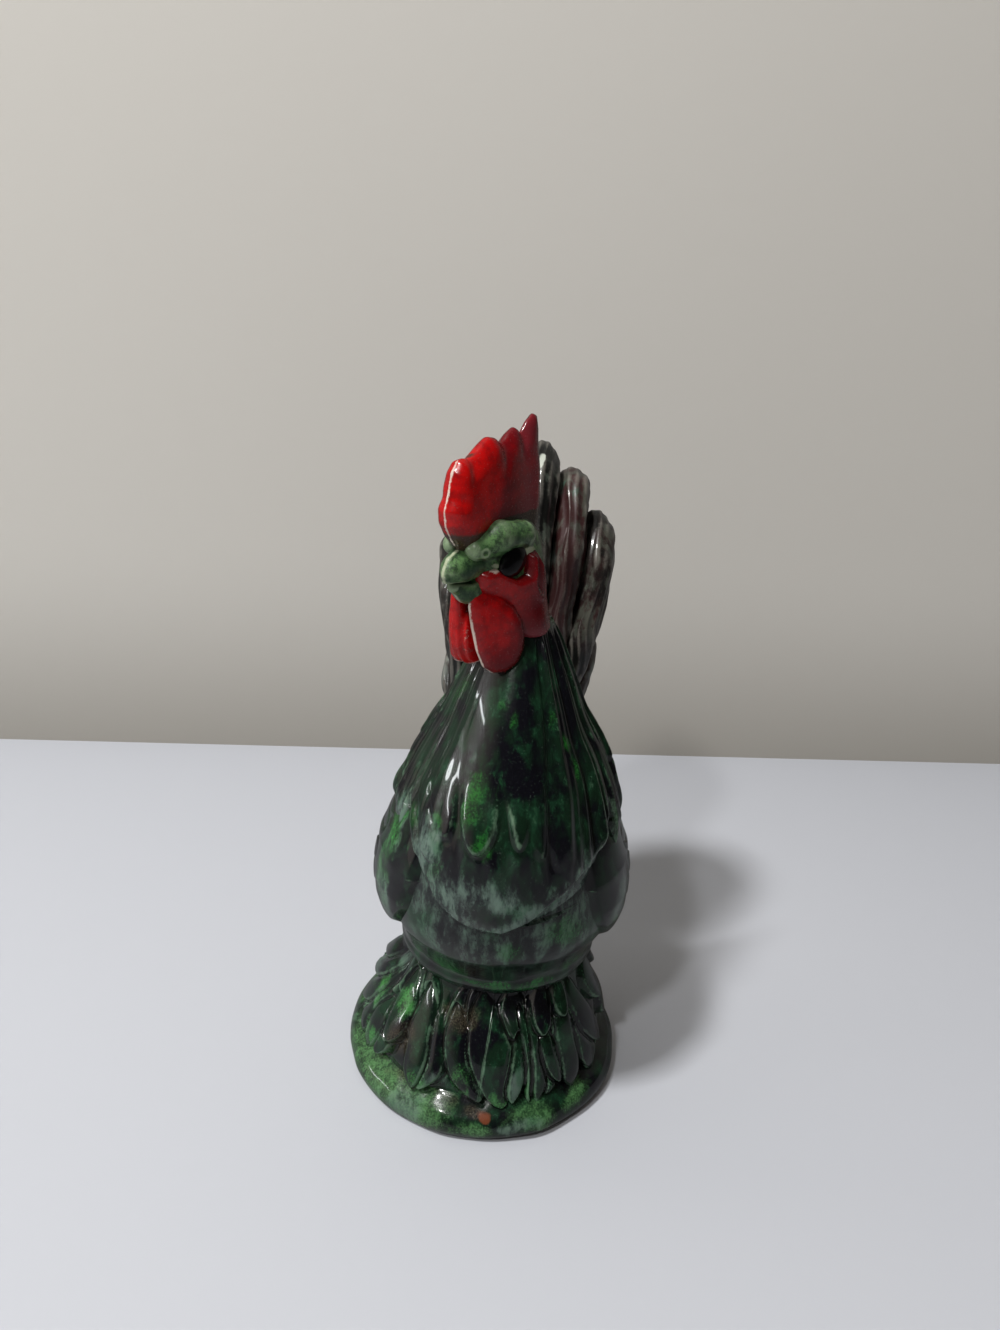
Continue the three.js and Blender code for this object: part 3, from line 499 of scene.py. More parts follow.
def fire(name, form, slot, material, wobble=0.1, **fields):
    """Makes the glazed piece of a node from a form in the bird's frame, with fields for its glaze."""
    points, quads, fans = form
    uneven = wander(points, 2.4, 71) + 1.4 * wander(points, 6, 72)
    uneven = wobble * uneven * ease(points[:, 2], *FOOT_RISE)
    points = points + normals(points, quads) * uneven[:, None]
    mesh = bpy.data.meshes.new(f"{name}_glazed")
    mesh.vertices.add(len(points))
    mesh.vertices.foreach_set("co", ((points + BIRD) * MM).astype(np.float32).ravel())
    mesh.loops.add(quads.size + fans.size)
    corners = np.concatenate([quads.ravel(), fans.ravel()])
    mesh.loops.foreach_set("vertex_index", corners.astype(np.int32))
    mesh.polygons.add(len(quads) + len(fans))
    starts = np.concatenate([np.arange(len(quads)) * 4, quads.size + np.arange(len(fans)) * 3])
    mesh.polygons.foreach_set("loop_start", starts.astype(np.int32))
    mesh.polygons.foreach_set("use_smooth", np.ones(len(starts), bool))
    mesh.update(calc_edges=True)
    mesh.validate()
    for key, values in {**relief_fields(points, quads, fans), **fields}.items():
        mesh.attributes.new(key, "FLOAT", "POINT").data.foreach_set("value", values.astype(np.float32))
    mesh.materials.append(material)
    piece = bpy.data.objects.new(f"{name}_glazed", mesh)
    bpy.context.scene.collection.objects.link(piece)
    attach(piece, "root")
    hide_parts(name)


# Forms blended from simple solids, for the head


def ball(p, middle, radii):
    """Distance to an egg with three radii."""
    q = p - middle
    scaled = np.linalg.norm(q / radii, axis=-1)
    steep = np.linalg.norm(q / np.square(radii), axis=-1)
    return scaled * (scaled - 1) / np.maximum(steep, 1e-6)


def rod(p, start, end, thick, thin):
    """Distance to a round rod that tapers from thick to thin."""
    start, along = np.asarray(start, float), np.subtract(end, start)
    t = np.clip(((p - start) @ along) / (along @ along), 0, 1)
    away = np.linalg.norm(p - start - t[..., None] * along, axis=-1)
    return away - (thick + (thin - thick) * t)


def melt(first, second, blend):
    """Both solids, run together as wet clay."""
    share = np.clip(0.5 + 0.5 * (second - first) / blend, 0, 1)
    return second + (first - second) * share - blend * share * (1 - share)


def carve(solid, tool, blend):
    """The solid with the tool pressed out of it."""
    return -melt(-solid, tool, blend)


def cast(shape, low, high, cell):
    """Closed faces round the points where a shape's distance is below zero, on a grid of small cells."""
    axes = [np.arange(a, b + cell, cell) for a, b in zip(low, high)]
    grid = np.stack(np.meshgrid(*axes, indexing="ij"), -1)
    depth = shape(grid)
    inside = depth < 0
    cells = tuple(n - 1 for n in depth.shape)
    total = np.zeros((*cells, 3))
    count = np.zeros(cells)
    faces = []
    for axis in range(3):
        first = [slice(None)] * 3
        second = [slice(None)] * 3
        first[axis], second[axis] = slice(0, -1), slice(1, None)
        a, b = depth[tuple(first)], depth[tuple(second)]
        crossed = (a < 0) != (b < 0)
        share = np.where(crossed, a / np.where(crossed, a - b, 1), 0)
        place = grid[tuple(first)].copy()
        place[..., axis] += share * cell
        u, v = [k for k in range(3) if k != axis]
        for du in (0, 1):
            for dv in (0, 1):
                pick = [slice(None)] * 3
                pick[u] = slice(du, cells[u] + du)
                pick[v] = slice(dv, cells[v] + dv)
                total += np.where(crossed[tuple(pick)][..., None], place[tuple(pick)], 0)
                count += crossed[tuple(pick)]
        where = np.argwhere(crossed)
        where = where[(where[:, u] > 0) & (where[:, v] > 0)]
        where = where[(where[:, u] < cells[u]) & (where[:, v] < cells[v])]
        around = []
        for du, dv in ((-1, -1), (0, -1), (0, 0), (-1, 0)):
            corner = where.copy()
            corner[:, u] += du
            corner[:, v] += dv
            around.append(np.ravel_multi_index(corner.T, cells))
        quad = np.stack(around, 1)
        flip = inside[tuple(where.T)] != (axis != 1)
        quad[flip] = quad[flip][:, ::-1]
        faces.append(quad)
    quads = np.vstack(faces)
    used = np.flatnonzero(count.ravel())
    number = np.full(count.size, -1)
    number[used] = np.arange(len(used))
    points = total.reshape(-1, 3)[used] / count.ravel()[used, None]
    return points, number[quads], np.zeros((0, 3), int)


# Feathers on a form, each placed by the angle and height of its root and tip

EDGE_SHARE = 0.38  # height of a feather's edge, as a share of its middle's
EDGE_SLOPE = 1.1  # how far in from its edge a feather reaches its height
GROOVE_PLACE, GROOVE_WIDTH = 0.3, 0.6  # the groove round a feather, out from its edge
BORDER_PLACE, BORDER_WIDTH = 0.65, 0.65  # the pale line in a feather, in from its edge


def feather_relief(angle, height, radius, feathers, lift, groove, shape=(0.7, 0.45)):
    """Height of domed feathers, each in a narrow groove, and how near a point is to a feather's edge.

    A feather is (root angle, root height, tip angle, tip height, width, bend). Its shape is how steeply
    its width grows from the root and how steeply it closes to the tip.
    """
    top = np.zeros_like(height)
    border = np.zeros_like(height)
    near_root, near_tip = shape
    widest = near_root / (near_root + near_tip)
    full = widest**near_root * (1 - widest) ** near_tip
    for angle_0, height_0, angle_1, height_1, width, bend in feathers:
        across = np.radians((angle - angle_0 + 180) % 360 - 180) * radius
        rise = height - height_0
        lean = np.radians((angle_1 - angle_0 + 180) % 360 - 180) * radius
        reach = np.hypot(lean, height_1 - height_0)
        ahead_across, ahead_up = lean / reach, (height_1 - height_0) / reach
        s = (across * ahead_across + rise * ahead_up) / reach
        t = np.clip(s, 1e-4, 1 - 1e-4)
        half = width / 2 * t**near_root * (1 - t) ** near_tip / full
        side = across * ahead_up - rise * ahead_across - bend * np.sin(math.pi * t)
        out = np.where(s > 1, np.hypot(side, (s - 1) * reach), np.abs(side) - half)
        out = np.where(s < 0, 9.0, out)
        away = np.clip(np.abs(side) / np.maximum(half, 0.3), 0, 1)
        dome = EDGE_SHARE + (1 - EDGE_SHARE) * np.sqrt(1 - away**2.4)
        body = lift * dome * t**0.7 * ease(-out, -0.15, EDGE_SLOPE)
        cut = groove * bell(out - GROOVE_PLACE, GROOVE_WIDTH) * ease(t, 0.1, 0.4)
        inside = out < 0.2
        top = np.where(inside, np.maximum(body, top * (1 - ease(-out, -0.2, 0.4))), top - cut)
        line = bell(out + BORDER_PLACE, BORDER_WIDTH) * ease(t, 0.15, 0.5)
        border = np.where(inside, np.maximum(line, border * (1 - ease(-out, -0.2, 0.4))), border)
    return top, border


BLUNT = 0.4, 0.42  # the shape of a feather that is broad from its root to its round tip


def feather_row(count, first, turn, root, tip, width):
    """A row of like feathers round a form, that lean and lengthen by turns."""
    waves = np.sin(2.4 * np.arange(count))
    return [(first + turn * k, root, first + turn * k + 4 * wave, tip + 1.4 * wave, width - wave, wave)
            for k, wave in enumerate(waves)]


# Base


def turned_form(profile, columns=320):
    """A net of rings round the base's upright axis, one for each (radius, height) of the profile."""
    angles = turns(columns)
    radius, height = np.asarray(profile, float).T[:, :, None]
    across, along = radius * np.cos(angles) - BASE_OFFSET, radius * np.sin(angles)
    return np.stack([across, along, np.repeat(height, columns, 1)], -1)


class ROOSTER_OT_base(bpy.types.Operator):
    """Model the round base with its plain rim"""

    bl_idname = "rooster.base"
    bl_label = "Base"

    wall = 4.5
    rim_height = 8.0
    mound_height = 38.0
    mound_top = 25.0  # its radius
    swell = 0.3  # how far the rim's surface strays
    pit = 0.14  # how deep the small pits over it are

    def execute(self, context):
        outer = through([
            (BASE_RADIUS - 7, 0), (BASE_RADIUS - 3.2, 0), (BASE_RADIUS - 0.9, 0.9), (BASE_RADIUS, 3.2),
            (BASE_RADIUS - 0.3, 5.4), (BASE_RADIUS - 1.7, 7.6), (BASE_RADIUS - 4.2, 9.4),
            (37.4, 10.8), (35.4, 13), (33.4, 20), (30, 30), (self.mound_top, self.mound_height),
        ], np.linspace(0, 1, 150))
        inner = through([
            (self.mound_top - self.wall, self.mound_height), (29 - self.wall, 26),
            (35 - self.wall, self.rim_height), (BASE_RADIUS - 8, 3), (BASE_RADIUS - 7, 0),
        ], np.linspace(0, 1, 50))
        net = turned_form(np.vstack([outer, inner[:-1]]))
        z, reach = net[..., 2], np.hypot(net[..., 0] + BASE_OFFSET, net[..., 1])
        swell = wander(net, 8, 3) * self.swell * ease(z, 0.5, 3) * ease(reach, 33, 36)
        pits = wander(net, 2.2, 4) * self.pit * ease(z, 8, 10) * ease(reach, 33, 35)
        net = net + outward(net, True) * (swell + pits)[..., None]
        net[..., 2] = np.maximum(net[..., 2], 0)
        rows, columns, _ = net.shape
        looped = np.vstack([strips(rows, columns, True), self.seam(rows, columns)])
        points = net.reshape(-1, 3)
        emerald = splashes(points, [
            (-40, -14, 6, 15, 12), (-33, -27, 7, 13, 12), (-20, -37, 6, 10, 12), (-3, -42, 3, 10, 4),
            (14, -39, 6, 9, 5), (26, -30, 8, 6, 5), (-36, 14, 6, 12, 8), (20, 33, 7, 12, 6),
            (-8, 40, 6, 9, 6),
        ])
        rust = splashes(points, [(-1.2, -40.6, 9.2, 2.6, 2.2)])
        earth = splashes(points, [(-15, -38.5, 10.5, 6, 3), (-27, -29, 11.5, 5, 2.5), (-4, -40, 9.5, 4, 2)])
        milk = splashes(points, [(-26, -36, 5, 9, 4), (-40, -4, 4, 8, 5), (10, -42, 5, 8, 2.5)])
        fire("base_mound", (points, looped, np.zeros((0, 3), int)), "base_green",
             green_glaze("base glaze", (80, 124, 76), milk_share=0.5, patchy=0.9),
             emerald=emerald, rust=rust, milk=milk, earth=earth)
        return {"FINISHED"}

    def seam(self, rows, columns):
        """Faces that join the profile's last ring to its first."""
        j = np.arange(columns)
        beside = (j + 1) % columns
        last = (rows - 1) * columns
        return np.stack([last + j, last + beside, beside, j], 1)


# Thighs: feathers that fan out from the hip on either side and hang over the base

# Each feather: root angle and height, tip angle and height, width, bend. -90 degrees is the front.
THIGH_FEATHERS = [
    *feather_row(12, -260, 29, 34, 12, 10.7), *feather_row(12, -246, 29, 43, 26, 10.7),
    (-154, 36, -168, 9, 9, 0.6), (-155, 39, -180, 14.5, 9, 0.6), (-158, 42, -187, 22, 9, 0),
    (-165, 43, -197, 26, 8.5, 0), (-148, 29, -156, 8.6, 9.5, 0.8), (-149, 43, -141.5, 28.5, 9, 0),
    (-142, 39, -138.6, 18, 10, -0.5), (-131, 43.5, -123, 27, 5.6, -0.4), (-127, 39, -119, 11, 9.5, 0.5),
    (-107, 37, -90, 11.5, 11, 1), (-98.5, 43, -94.6, 31, 5.2, 0),
    (-92.5, 42, -81, 9.8, 13, -0.6), (-71, 31, -77, 11, 7, -0.8), (-68.5, 37, -67.3, 8.8, 6, -1),
    (-63.5, 37, -63.5, 8.6, 6.5, -1), (-58, 32, -52, 13.5, 7, 0.4), (-54, 43, -60, 28.5, 7, -0.6),
    (-47, 41, -45, 8.6, 9, -0.8), (-44, 44, -46.6, 31.5, 6.4, -0.4), (-37, 39, -30, 8.8, 10, -0.8),
    (-36, 42, -23, 15, 9, 0.6),
]


class ROOSTER_OT_thighs(bpy.types.Operator):
    """Model the leaf-shaped thigh feathers on both sides"""

    bl_idname = "rooster.thighs"
    bl_label = "Thigh feathers"

    low = 8.2
    high = 45.5
    groove = 0.6
    depth = 1.4  # how far the skin reaches into the mound
    stray = 0.5  # how far the feathers' edges stray
    # A hollow between the feathers at the front: angle, height, width in degrees, height, depth.
    hollow = (-72, 38, 15, 5.5, 3.2)

    def apron(self, first, last, columns=380, rows=170):
        """The smooth skirt that the feathers lie on, between two angles."""
        z, radius, x = through([
            (self.low, 36.6, -BASE_OFFSET), (14, 36.8, -BASE_OFFSET), (22, 34.8, -BASE_OFFSET * 0.7),
            (31, 31.0, -BASE_OFFSET * 0.3), (38, 27.8, 0), (self.high, 25.4, 0),
        ], np.linspace(0, 1, rows)).T[:, :, None]
        angles = np.radians(np.linspace(first, last, columns))
        return np.stack([x + radius * np.cos(angles), radius * np.sin(angles), np.repeat(z, columns, 1)], -1)

    def execute(self, context):
        lift = context.scene.rooster_sizes.leaf_lift / MM
        material = green_glaze("thigh glaze", (64, 124, 64), milk_share=0.5, sage=(96, 126, 102))
        for name, first, last in (("thigh_feathers_left", -90, 90), ("thigh_feathers_right", -270, -90)):
            net = self.apron(first, last)
            bent = net + self.stray * np.stack([wander(net, 5, seed) for seed in (61, 62, 63)], -1)
            z = bent[..., 2]
            angle = np.degrees(np.arctan2(bent[..., 1], bent[..., 0] + BASE_OFFSET))
            radius = np.hypot(bent[..., 0] + BASE_OFFSET, bent[..., 1])
            level, border = feather_relief(angle, z, radius, THIGH_FEATHERS, lift, self.groove)
            hole_angle, hole_height, wide, tall, deep = self.hollow
            hole = deep * bell(angle - hole_angle, wide) * bell(z - hole_height, tall)
            level = soften(level, 1, False) - hole + wander(net, 3, 64) * 0.12
            fade = ease(net[..., 2], self.low - 0.5, self.low + 1.2)
            outer = net + outward(net, False) * (level * fade)[..., None]
            inner = net - outward(net, False) * (self.depth + hole)[..., None]
            form = shell_solid(outer, inner)
            points = form[0]
            emerald = splashes(points, [
                (-28, -20, 33, 4, 6), (-37, -17, 15, 6, 6), (-23, -36, 12, 3, 4), (3, -40, 12, 4, 4),
                (-9, -36, 17, 3, 5), (-31, -9, 41, 5, 4), (13, -36, 13, 3, 8), (-36, -10, 26, 4, 4),
                (24, 22, 30, 8, 8), (-20, 30, 24, 8, 8),
            ])
            milk = splashes(points, [
                (-31, -10, 39, 6, 6), (-40, 2, 26, 7, 7), (-17, -37, 15, 4, 5), (9, -38, 18, 3, 6),
                (-34, 12, 34, 9, 8),
            ])
            earth = splashes(points, [(-27, -26, 22, 6, 8), (-10, -30, 34, 6, 5), (-36, -4, 36, 5, 5)])
            # Painted shade: the pale feather edges fade out on the bird's left side, away from the lamps, and
            # the emerald and milky splashes above are fewer there.
            painted_light = 0.7 - 0.55 * ease(outer[..., 0], 4, 22)
            lines = np.concatenate([(border * painted_light).ravel(), 0 * border.ravel()])
            fire(name, form, "dark_green", material, emerald=emerald, milk=milk, earth=earth, border=lines)
        return {"FINISHED"}


# Body and neck

# Height, half width, reach to the front, reach to the back.
BODY_ROWS = [
    (39, 24, 22, 24), (41, 27.8, 26.8, 28.6), (43.4, 29.8, 28.9, 31.8), (45.6, 30.3, 29.6, 33.2),
    (47.6, 30.2, 29.6, 34), (50.4, 30.8, 30.6, 35.6), (53.6, 32, 32.2, 37.6), (57, 33.4, 34.2, 39.8),
    (62, 34.2, 35.6, 41.4), (68, 34.2, 35.8, 42), (78, 32.6, 35.2, 41), (90, 27.6, 31.6, 36),
    (103, 20.4, 25.6, 26), (117, 13.6, 17.4, 14), (130, 7, 11, 7),
]


def body_net(rows=210, columns=420):
    """The egg-shaped body as rings of points."""
    z, half, front, back = through(BODY_ROWS, np.linspace(0, 1, rows)).T[:, :, None]
    angles = turns(columns)
    reach = np.where(np.sin(angles) < 0, front, back)
    return np.stack([half * np.cos(angles), reach * np.sin(angles), z + 0 * angles], -1)


class ROOSTER_OT_body(bpy.types.Operator):
    """Model the egg-shaped body with the ring that it stands on"""

    bl_idname = "rooster.body"
    bl_label = "Body"

    swell = 0.35  # how far the surface strays

    def execute(self, context):
        net = body_net()
        swell = wander(net, 14, 11) * self.swell * ease(net[..., 2], 48, 56)
        net = net + outward(net, True) * swell[..., None]
        form = ring_solid(net)
        points = form[0]
        emerald = splashes(points, [
            (-15, -28, 50, 8, 4), (-2, -31, 46, 9, 3), (12, -29, 46, 7, 3), (3, -35, 62, 5, 4),
            (19, -29, 66, 6, 6), (-26, -20, 52, 5, 5), (25, -22, 50, 6, 4), (0, 40, 60, 12, 7),
            (-28, 20, 62, 8, 8),
        ])
        milk = ease(points[:, 2], 50, 60) * (1 - ease(points[:, 2], 78, 92)) * 0.5
        fire("body_shell", form, "breast_grey_green", green_glaze("body glaze", (34, 96, 44)),
             emerald=emerald, milk=milk)
        return {"FINISHED"}


# Share of the height, then the share by which the width, front and back have drawn in to the neck.
HACKLE_ROWS = [
    (0.04, 0.32, 0.34, 0.3), (-0.012, 0.17, 0.17, 0.12), (-0.01, 0.08, 0.09, 0.04), (0.02, 0.035, 0.045, 0),
    (0.07, 0.01, 0.015, -0.03), (0.18, 0, 0, 0), (0.32, 0.14, 0.08, 0.14), (0.45, 0.31, 0.22, 0.34),
    (0.6, 0.52, 0.4, 0.52), (0.73, 0.67, 0.56, 0.66), (0.85, 0.81, 0.75, 0.82), (1, 1, 1, 1),
]
HACKLE_LOW = 70.0
HACKLE_MIDDLE = 1.0
NAPE_RISE = 21.0
BREAST_WIDTH, NECK_WIDTH = 33.2, 9.0
BREAST_FRONT, NECK_FRONT = 39.8, 11.5
BREAST_BACK, NECK_BACK = 31.0, 9.0

# The rounded breast below the feather tips: its lower edge by angle and height.
BREAST_EDGE = [
    (-180, 112), (-165, 104), (-151, 95.5), (-140, 88), (-130, 80), (-121, 73.5), (-111, 69.5), (-104, 68),
    (-91, 68.5), (-79, 74), (-70, 79.5), (-59, 84), (-47, 88), (-34, 93), (-18, 102), (0, 112), (180, 112),
]

# Each neck feather: root angle and height, tip angle and height, width, bend.
HACKLE_FEATHERS = [
    *feather_row(11, -6, 17.5, 122, 95, 12.5), *feather_row(11, 3, 17.5, 132, 106, 10.5),
    (-186, 119, -180, 90, 12, 0.8), (-175, 119, -167, 88, 12, 0.9), (-164, 120, -153, 86, 12, 1.0),
    (-20, 119, -14, 92, 12, -0.8), (-32, 119, -25, 89, 12, -0.9), (-46, 120, -38, 87, 10, -1.0),
    (-152, 121, -139, 84.5, 12.5, 1.2), (-56, 122, -50, 85, 7, -1.0), (-143, 122, -127, 87.5, 14, 1.5),
    (-66, 123, -60, 87, 7, -1.4), (-75, 122, -68, 90, 6.5, -1.6), (-138, 124, -120, 95.5, 12, 1.2),
    (-85, 121, -76, 94, 7, -1.8), (-93, 118, -85, 97, 6, -1.2), (-108, 119, -101, 94, 11.5, 0.4),
]


class ROOSTER_OT_hackle(bpy.types.Operator):
    """Model the cape of long neck feathers and the rounded breast below them"""

    bl_idname = "rooster.hackle"
    bl_label = "Neck hackle"

    groove = 0.35
    smooth_middle = -104  # the angle of the smooth part of the neck
    tuck = 3.0  # how far the body draws in below the breast's edge
    strands = ((0.5, 0.42), (1, 0.3), (1.9, 0.14))  # how close together and how high they are

    def net(self, rows=300, columns=520):
        """The smooth cape as rings of points, higher at the nape than at the breast."""
        up, wide, fore, aft = through(HACKLE_ROWS, np.linspace(0, 1, rows)).T[:, :, None]
        angles = turns(columns)
        front = BREAST_FRONT + (NECK_FRONT - BREAST_FRONT) * fore
        back = BREAST_BACK + (NECK_BACK - BREAST_BACK) * aft
        half = BREAST_WIDTH + (NECK_WIDTH - BREAST_WIDTH) * wide
        reach = np.where(np.sin(angles) < 0, front, back)
        z = HACKLE_LOW + (NECK_TOP - HACKLE_LOW) * up
        lift = NAPE_RISE * (1 - up) * (1 + np.sin(angles)) / 2
        return np.stack([HACKLE_MIDDLE + half * np.cos(angles), reach * np.sin(angles), z + lift], -1)

    def execute(self, context):
        lift = context.scene.rooster_sizes.hackle_lift / MM
        net = self.net()
        z = net[..., 2]
        angle = np.degrees(np.arctan2(net[..., 1], net[..., 0] - HACKLE_MIDDLE))
        radius = np.hypot(net[..., 0] - HACKLE_MIDDLE, net[..., 1])
        bent_angle = angle + wander(net, 9, 22) * 1.6
        level, border = feather_relief(bent_angle, z, radius, HACKLE_FEATHERS, lift, self.groove, BLUNT)
        from_middle = np.abs(angle - self.smooth_middle)
        quiet = (1 - ease(from_middle, 14, 28)) * ease(z, 101, 112)
        right = ease(angle, -90, -80) * (1 - ease(angle, 10, 30))
        left = 1 - ease(angle, -124, -112)
        low = 1 - ease(z, 98, 110)
        shallow = 1 - (0.3 + 0.4 * low) * right - 0.5 * left
        level = soften(level, 3, True) * (1 - 0.9 * quiet) * shallow
        side = ease(from_middle, 15, 42) + 0.35 * (1 - ease(z, 100, 112))
        lines = np.radians(angle) * 33 + wander(net, 16, 21) * 1.7
        strands = sum(height * np.sin(lines * close) for close, height in self.strands)
        strands = strands * side * (1 - 0.4 * left) * ease(z, 80, 94) * (1 - ease(z, NECK_TOP - 5, NECK_TOP))
        edge = np.interp(angle, *np.array(BREAST_EDGE, float).T)
        on_breast = edge < 100
        breast = self.tuck * (ease(z - edge, -self.tuck, 2.4) - 1) * on_breast
        relief = level * ease(z, 72, 82) * (1 - 0.5 * ease(z, 112, 124)) + strands + breast - 0.3
        relief = relief + wander(net, 5, 23) * 0.12 * (1 - 0.8 * quiet)
        raised = net + outward(net, True) * relief[..., None]
        form = ring_solid(raised)
        points = form[0]
        emerald = splashes(points, [
            (-8.5, -30, 105, 4, 8), (-7.5, -35, 97, 3.4, 5), (-14.6, -8, 132, 3.5, 6), (13, -20, 124, 1.8, 8),
            (-19, -28, 99, 2.4, 5), (17, -22, 113, 1.8, 9), (-1, -22, 127, 2, 4), (-27, -18, 90, 4, 8),
            (-20, -33, 84, 5, 8), (-20, 14, 116, 7, 9), (14, 18, 112, 7, 9),
        ])
        # Partly painted reflection: the milky cloud low on the breast's front and on the bird's right side,
        # towards the lamps, stands for the glaze's sheen as well as for clouded glaze.
        milk = (1 - ease(points[:, 2], 80, 93)) * ease(-points[:, 1], 0, 18) * 0.7
        milk = np.maximum(milk, 0.9 * splashes(points, [
            (-23, -28, 87, 8, 11), (-27, -24, 78, 8, 10), (-31, -12, 90, 5, 12), (22, -28, 86, 6, 7),
        ]))
        milk = milk * (1 - 0.8 * splashes(points, [(10, -36, 88, 7, 6), (-3, -39, 76, 7, 4)]))
        rust = splashes(points, [(-10, -29, 112, 1.2, 1.6)]) * 0.7
        rim = bell(z - edge - 0.6, 1.1) * on_breast
        # Painted shade: the pale feather edges fade on the bird's left side, away from the lamps; they are also
        # weaker at the back of its right side.
        border = border * (0.6 - 0.45 * right - 0.4 * left) + 0.8 * rim
        lines = np.append(border.ravel(), (0, 0))
        fire("neck_hackle", form, "hackle_green", green_glaze("hackle glaze", (32, 92, 34), 0.85),
             wobble=0.015, emerald=emerald, milk=milk, rust=rust, border=lines)
        return {"FINISHED"}


# Wings, seen from the side: how far forward and how high each point of the outline lies
WING_OUTLINE = [
    (25, 77), (21, 92), (10, 103.5), (-6, 105), (-24, 97), (-37, 86), (-42.5, 75), (-34, 63), (-18, 54.5),
    (-2, 49), (12, 53), (22, 64),
]
# Feathers of a wing: the row of coverts, then the long flight feathers over their ends.
WING_FEATHERS = [
    *((-8, 98 - 8 * k, 22, 93 - 8 * k, 9, 0) for k in range(6)),
    *((4 * k - 12, 88 - 5 * k, 68 - 3.5 * k, 84 - 4.4 * k, 8.2, 0) for k in range(8)),
]


class ROOSTER_OT_wings(bpy.types.Operator):
    """Model the two wings with their coverts and flight feathers"""

    bl_idname = "rooster.wings"
    bl_label = "Wings"

    thickness = 5.0
    rim = 0.8  # its thickness at the edge
    groove = 0.4
    depth = 2.5  # how far the skin reaches into the body
    sunk = 0.8  # how far the very edge sinks into it
    middle = (-7.0, 76.0)

    def wing(self, side, lift, rows=170, columns=420):
        """The wing's outer and inner face, as rings round its middle, and its feathers' edges."""
        rim = through([*WING_OUTLINE, WING_OUTLINE[0]], np.linspace(0, 1, columns, endpoint=False))
        shares = np.linspace(0, 1, rows)[:, None]
        forward = self.middle[0] + (rim[:, 0] - self.middle[0]) * shares
        up = self.middle[1] + (rim[:, 1] - self.middle[1]) * shares
        half, front, back = (np.interp(up, *np.array(BODY_ROWS)[:, [0, k]].T) for k in (1, 2, 3))
        reach = np.where(forward > 0, front, back)
        bulge = half * np.sqrt(np.clip(1 - (forward / (reach + 1)) ** 2, 0.02, 1))
        angle = np.degrees(np.arctan2(-forward, bulge))
        radius = np.hypot(forward, bulge)
        level, border = feather_relief(angle, up, radius, WING_FEATHERS, lift, self.groove, BLUNT)
        dome = (1 - shares**3.2) ** 0.55
        thick = self.rim + (self.thickness - self.rim + soften(level, 1, True)) * dome
        thick = thick - (self.rim + self.sunk) * ease(shares, 0.94, 1.0)
        slope = np.clip(forward / reach, -0.97, 0.97)
        out = np.sqrt(1 - slope**2)
        x = side * (bulge + thick * out)
        y = -forward - thick * slope * 0.8
        outer = np.stack([x, y, up + 0 * x], -1)
        inner = np.stack([side * (bulge - self.depth), -forward * 0.97, up + 0 * x], -1)
        return outer, inner, border * dome

    def execute(self, context):
        lift = context.scene.rooster_sizes.wing_lift / MM
        material = green_glaze("wing glaze", (62, 132, 66), milk_share=0.6)
        for word, side in SIDES:
            outer, inner, border = self.wing(side, lift)
            if side < 0:
                outer, inner, border = outer[:, ::-1], inner[:, ::-1], border[:, ::-1]
            rows, columns, _ = outer.shape
            points = np.vstack([outer.reshape(-1, 3), inner.reshape(-1, 3)])
            front = strips(rows, columns, True)
            back = front[:, ::-1] + rows * columns
            last = (rows - 1) * columns + np.arange(columns)
            ahead = np.roll(last, -1)
            walls = np.stack([last, ahead, ahead + rows * columns, last + rows * columns], 1)
            form = points, np.vstack([front, back, walls]), np.zeros((0, 3), int)
            emerald = splashes(points, [
                (-35, -12, 88, 6, 11), (-37, -14, 70, 6, 9), (36, 8, 84, 8, 7), (36, -14, 60, 5, 5),
                (-38, 14, 76, 7, 8),
            ])
            milk = splashes(points, [
                (-36, -16, 66, 6, 10), (-33, -16, 88, 3, 8), (36, -14, 68, 6, 8), (38, 12, 70, 8, 7),
                (-38, 24, 64, 7, 6),
            ])
            lines = np.concatenate([border.ravel(), 0 * border.ravel()])
            fire(f"wing_{word}", form, "dark_green", material, emerald=emerald, milk=milk, border=lines)
        return {"FINISHED"}


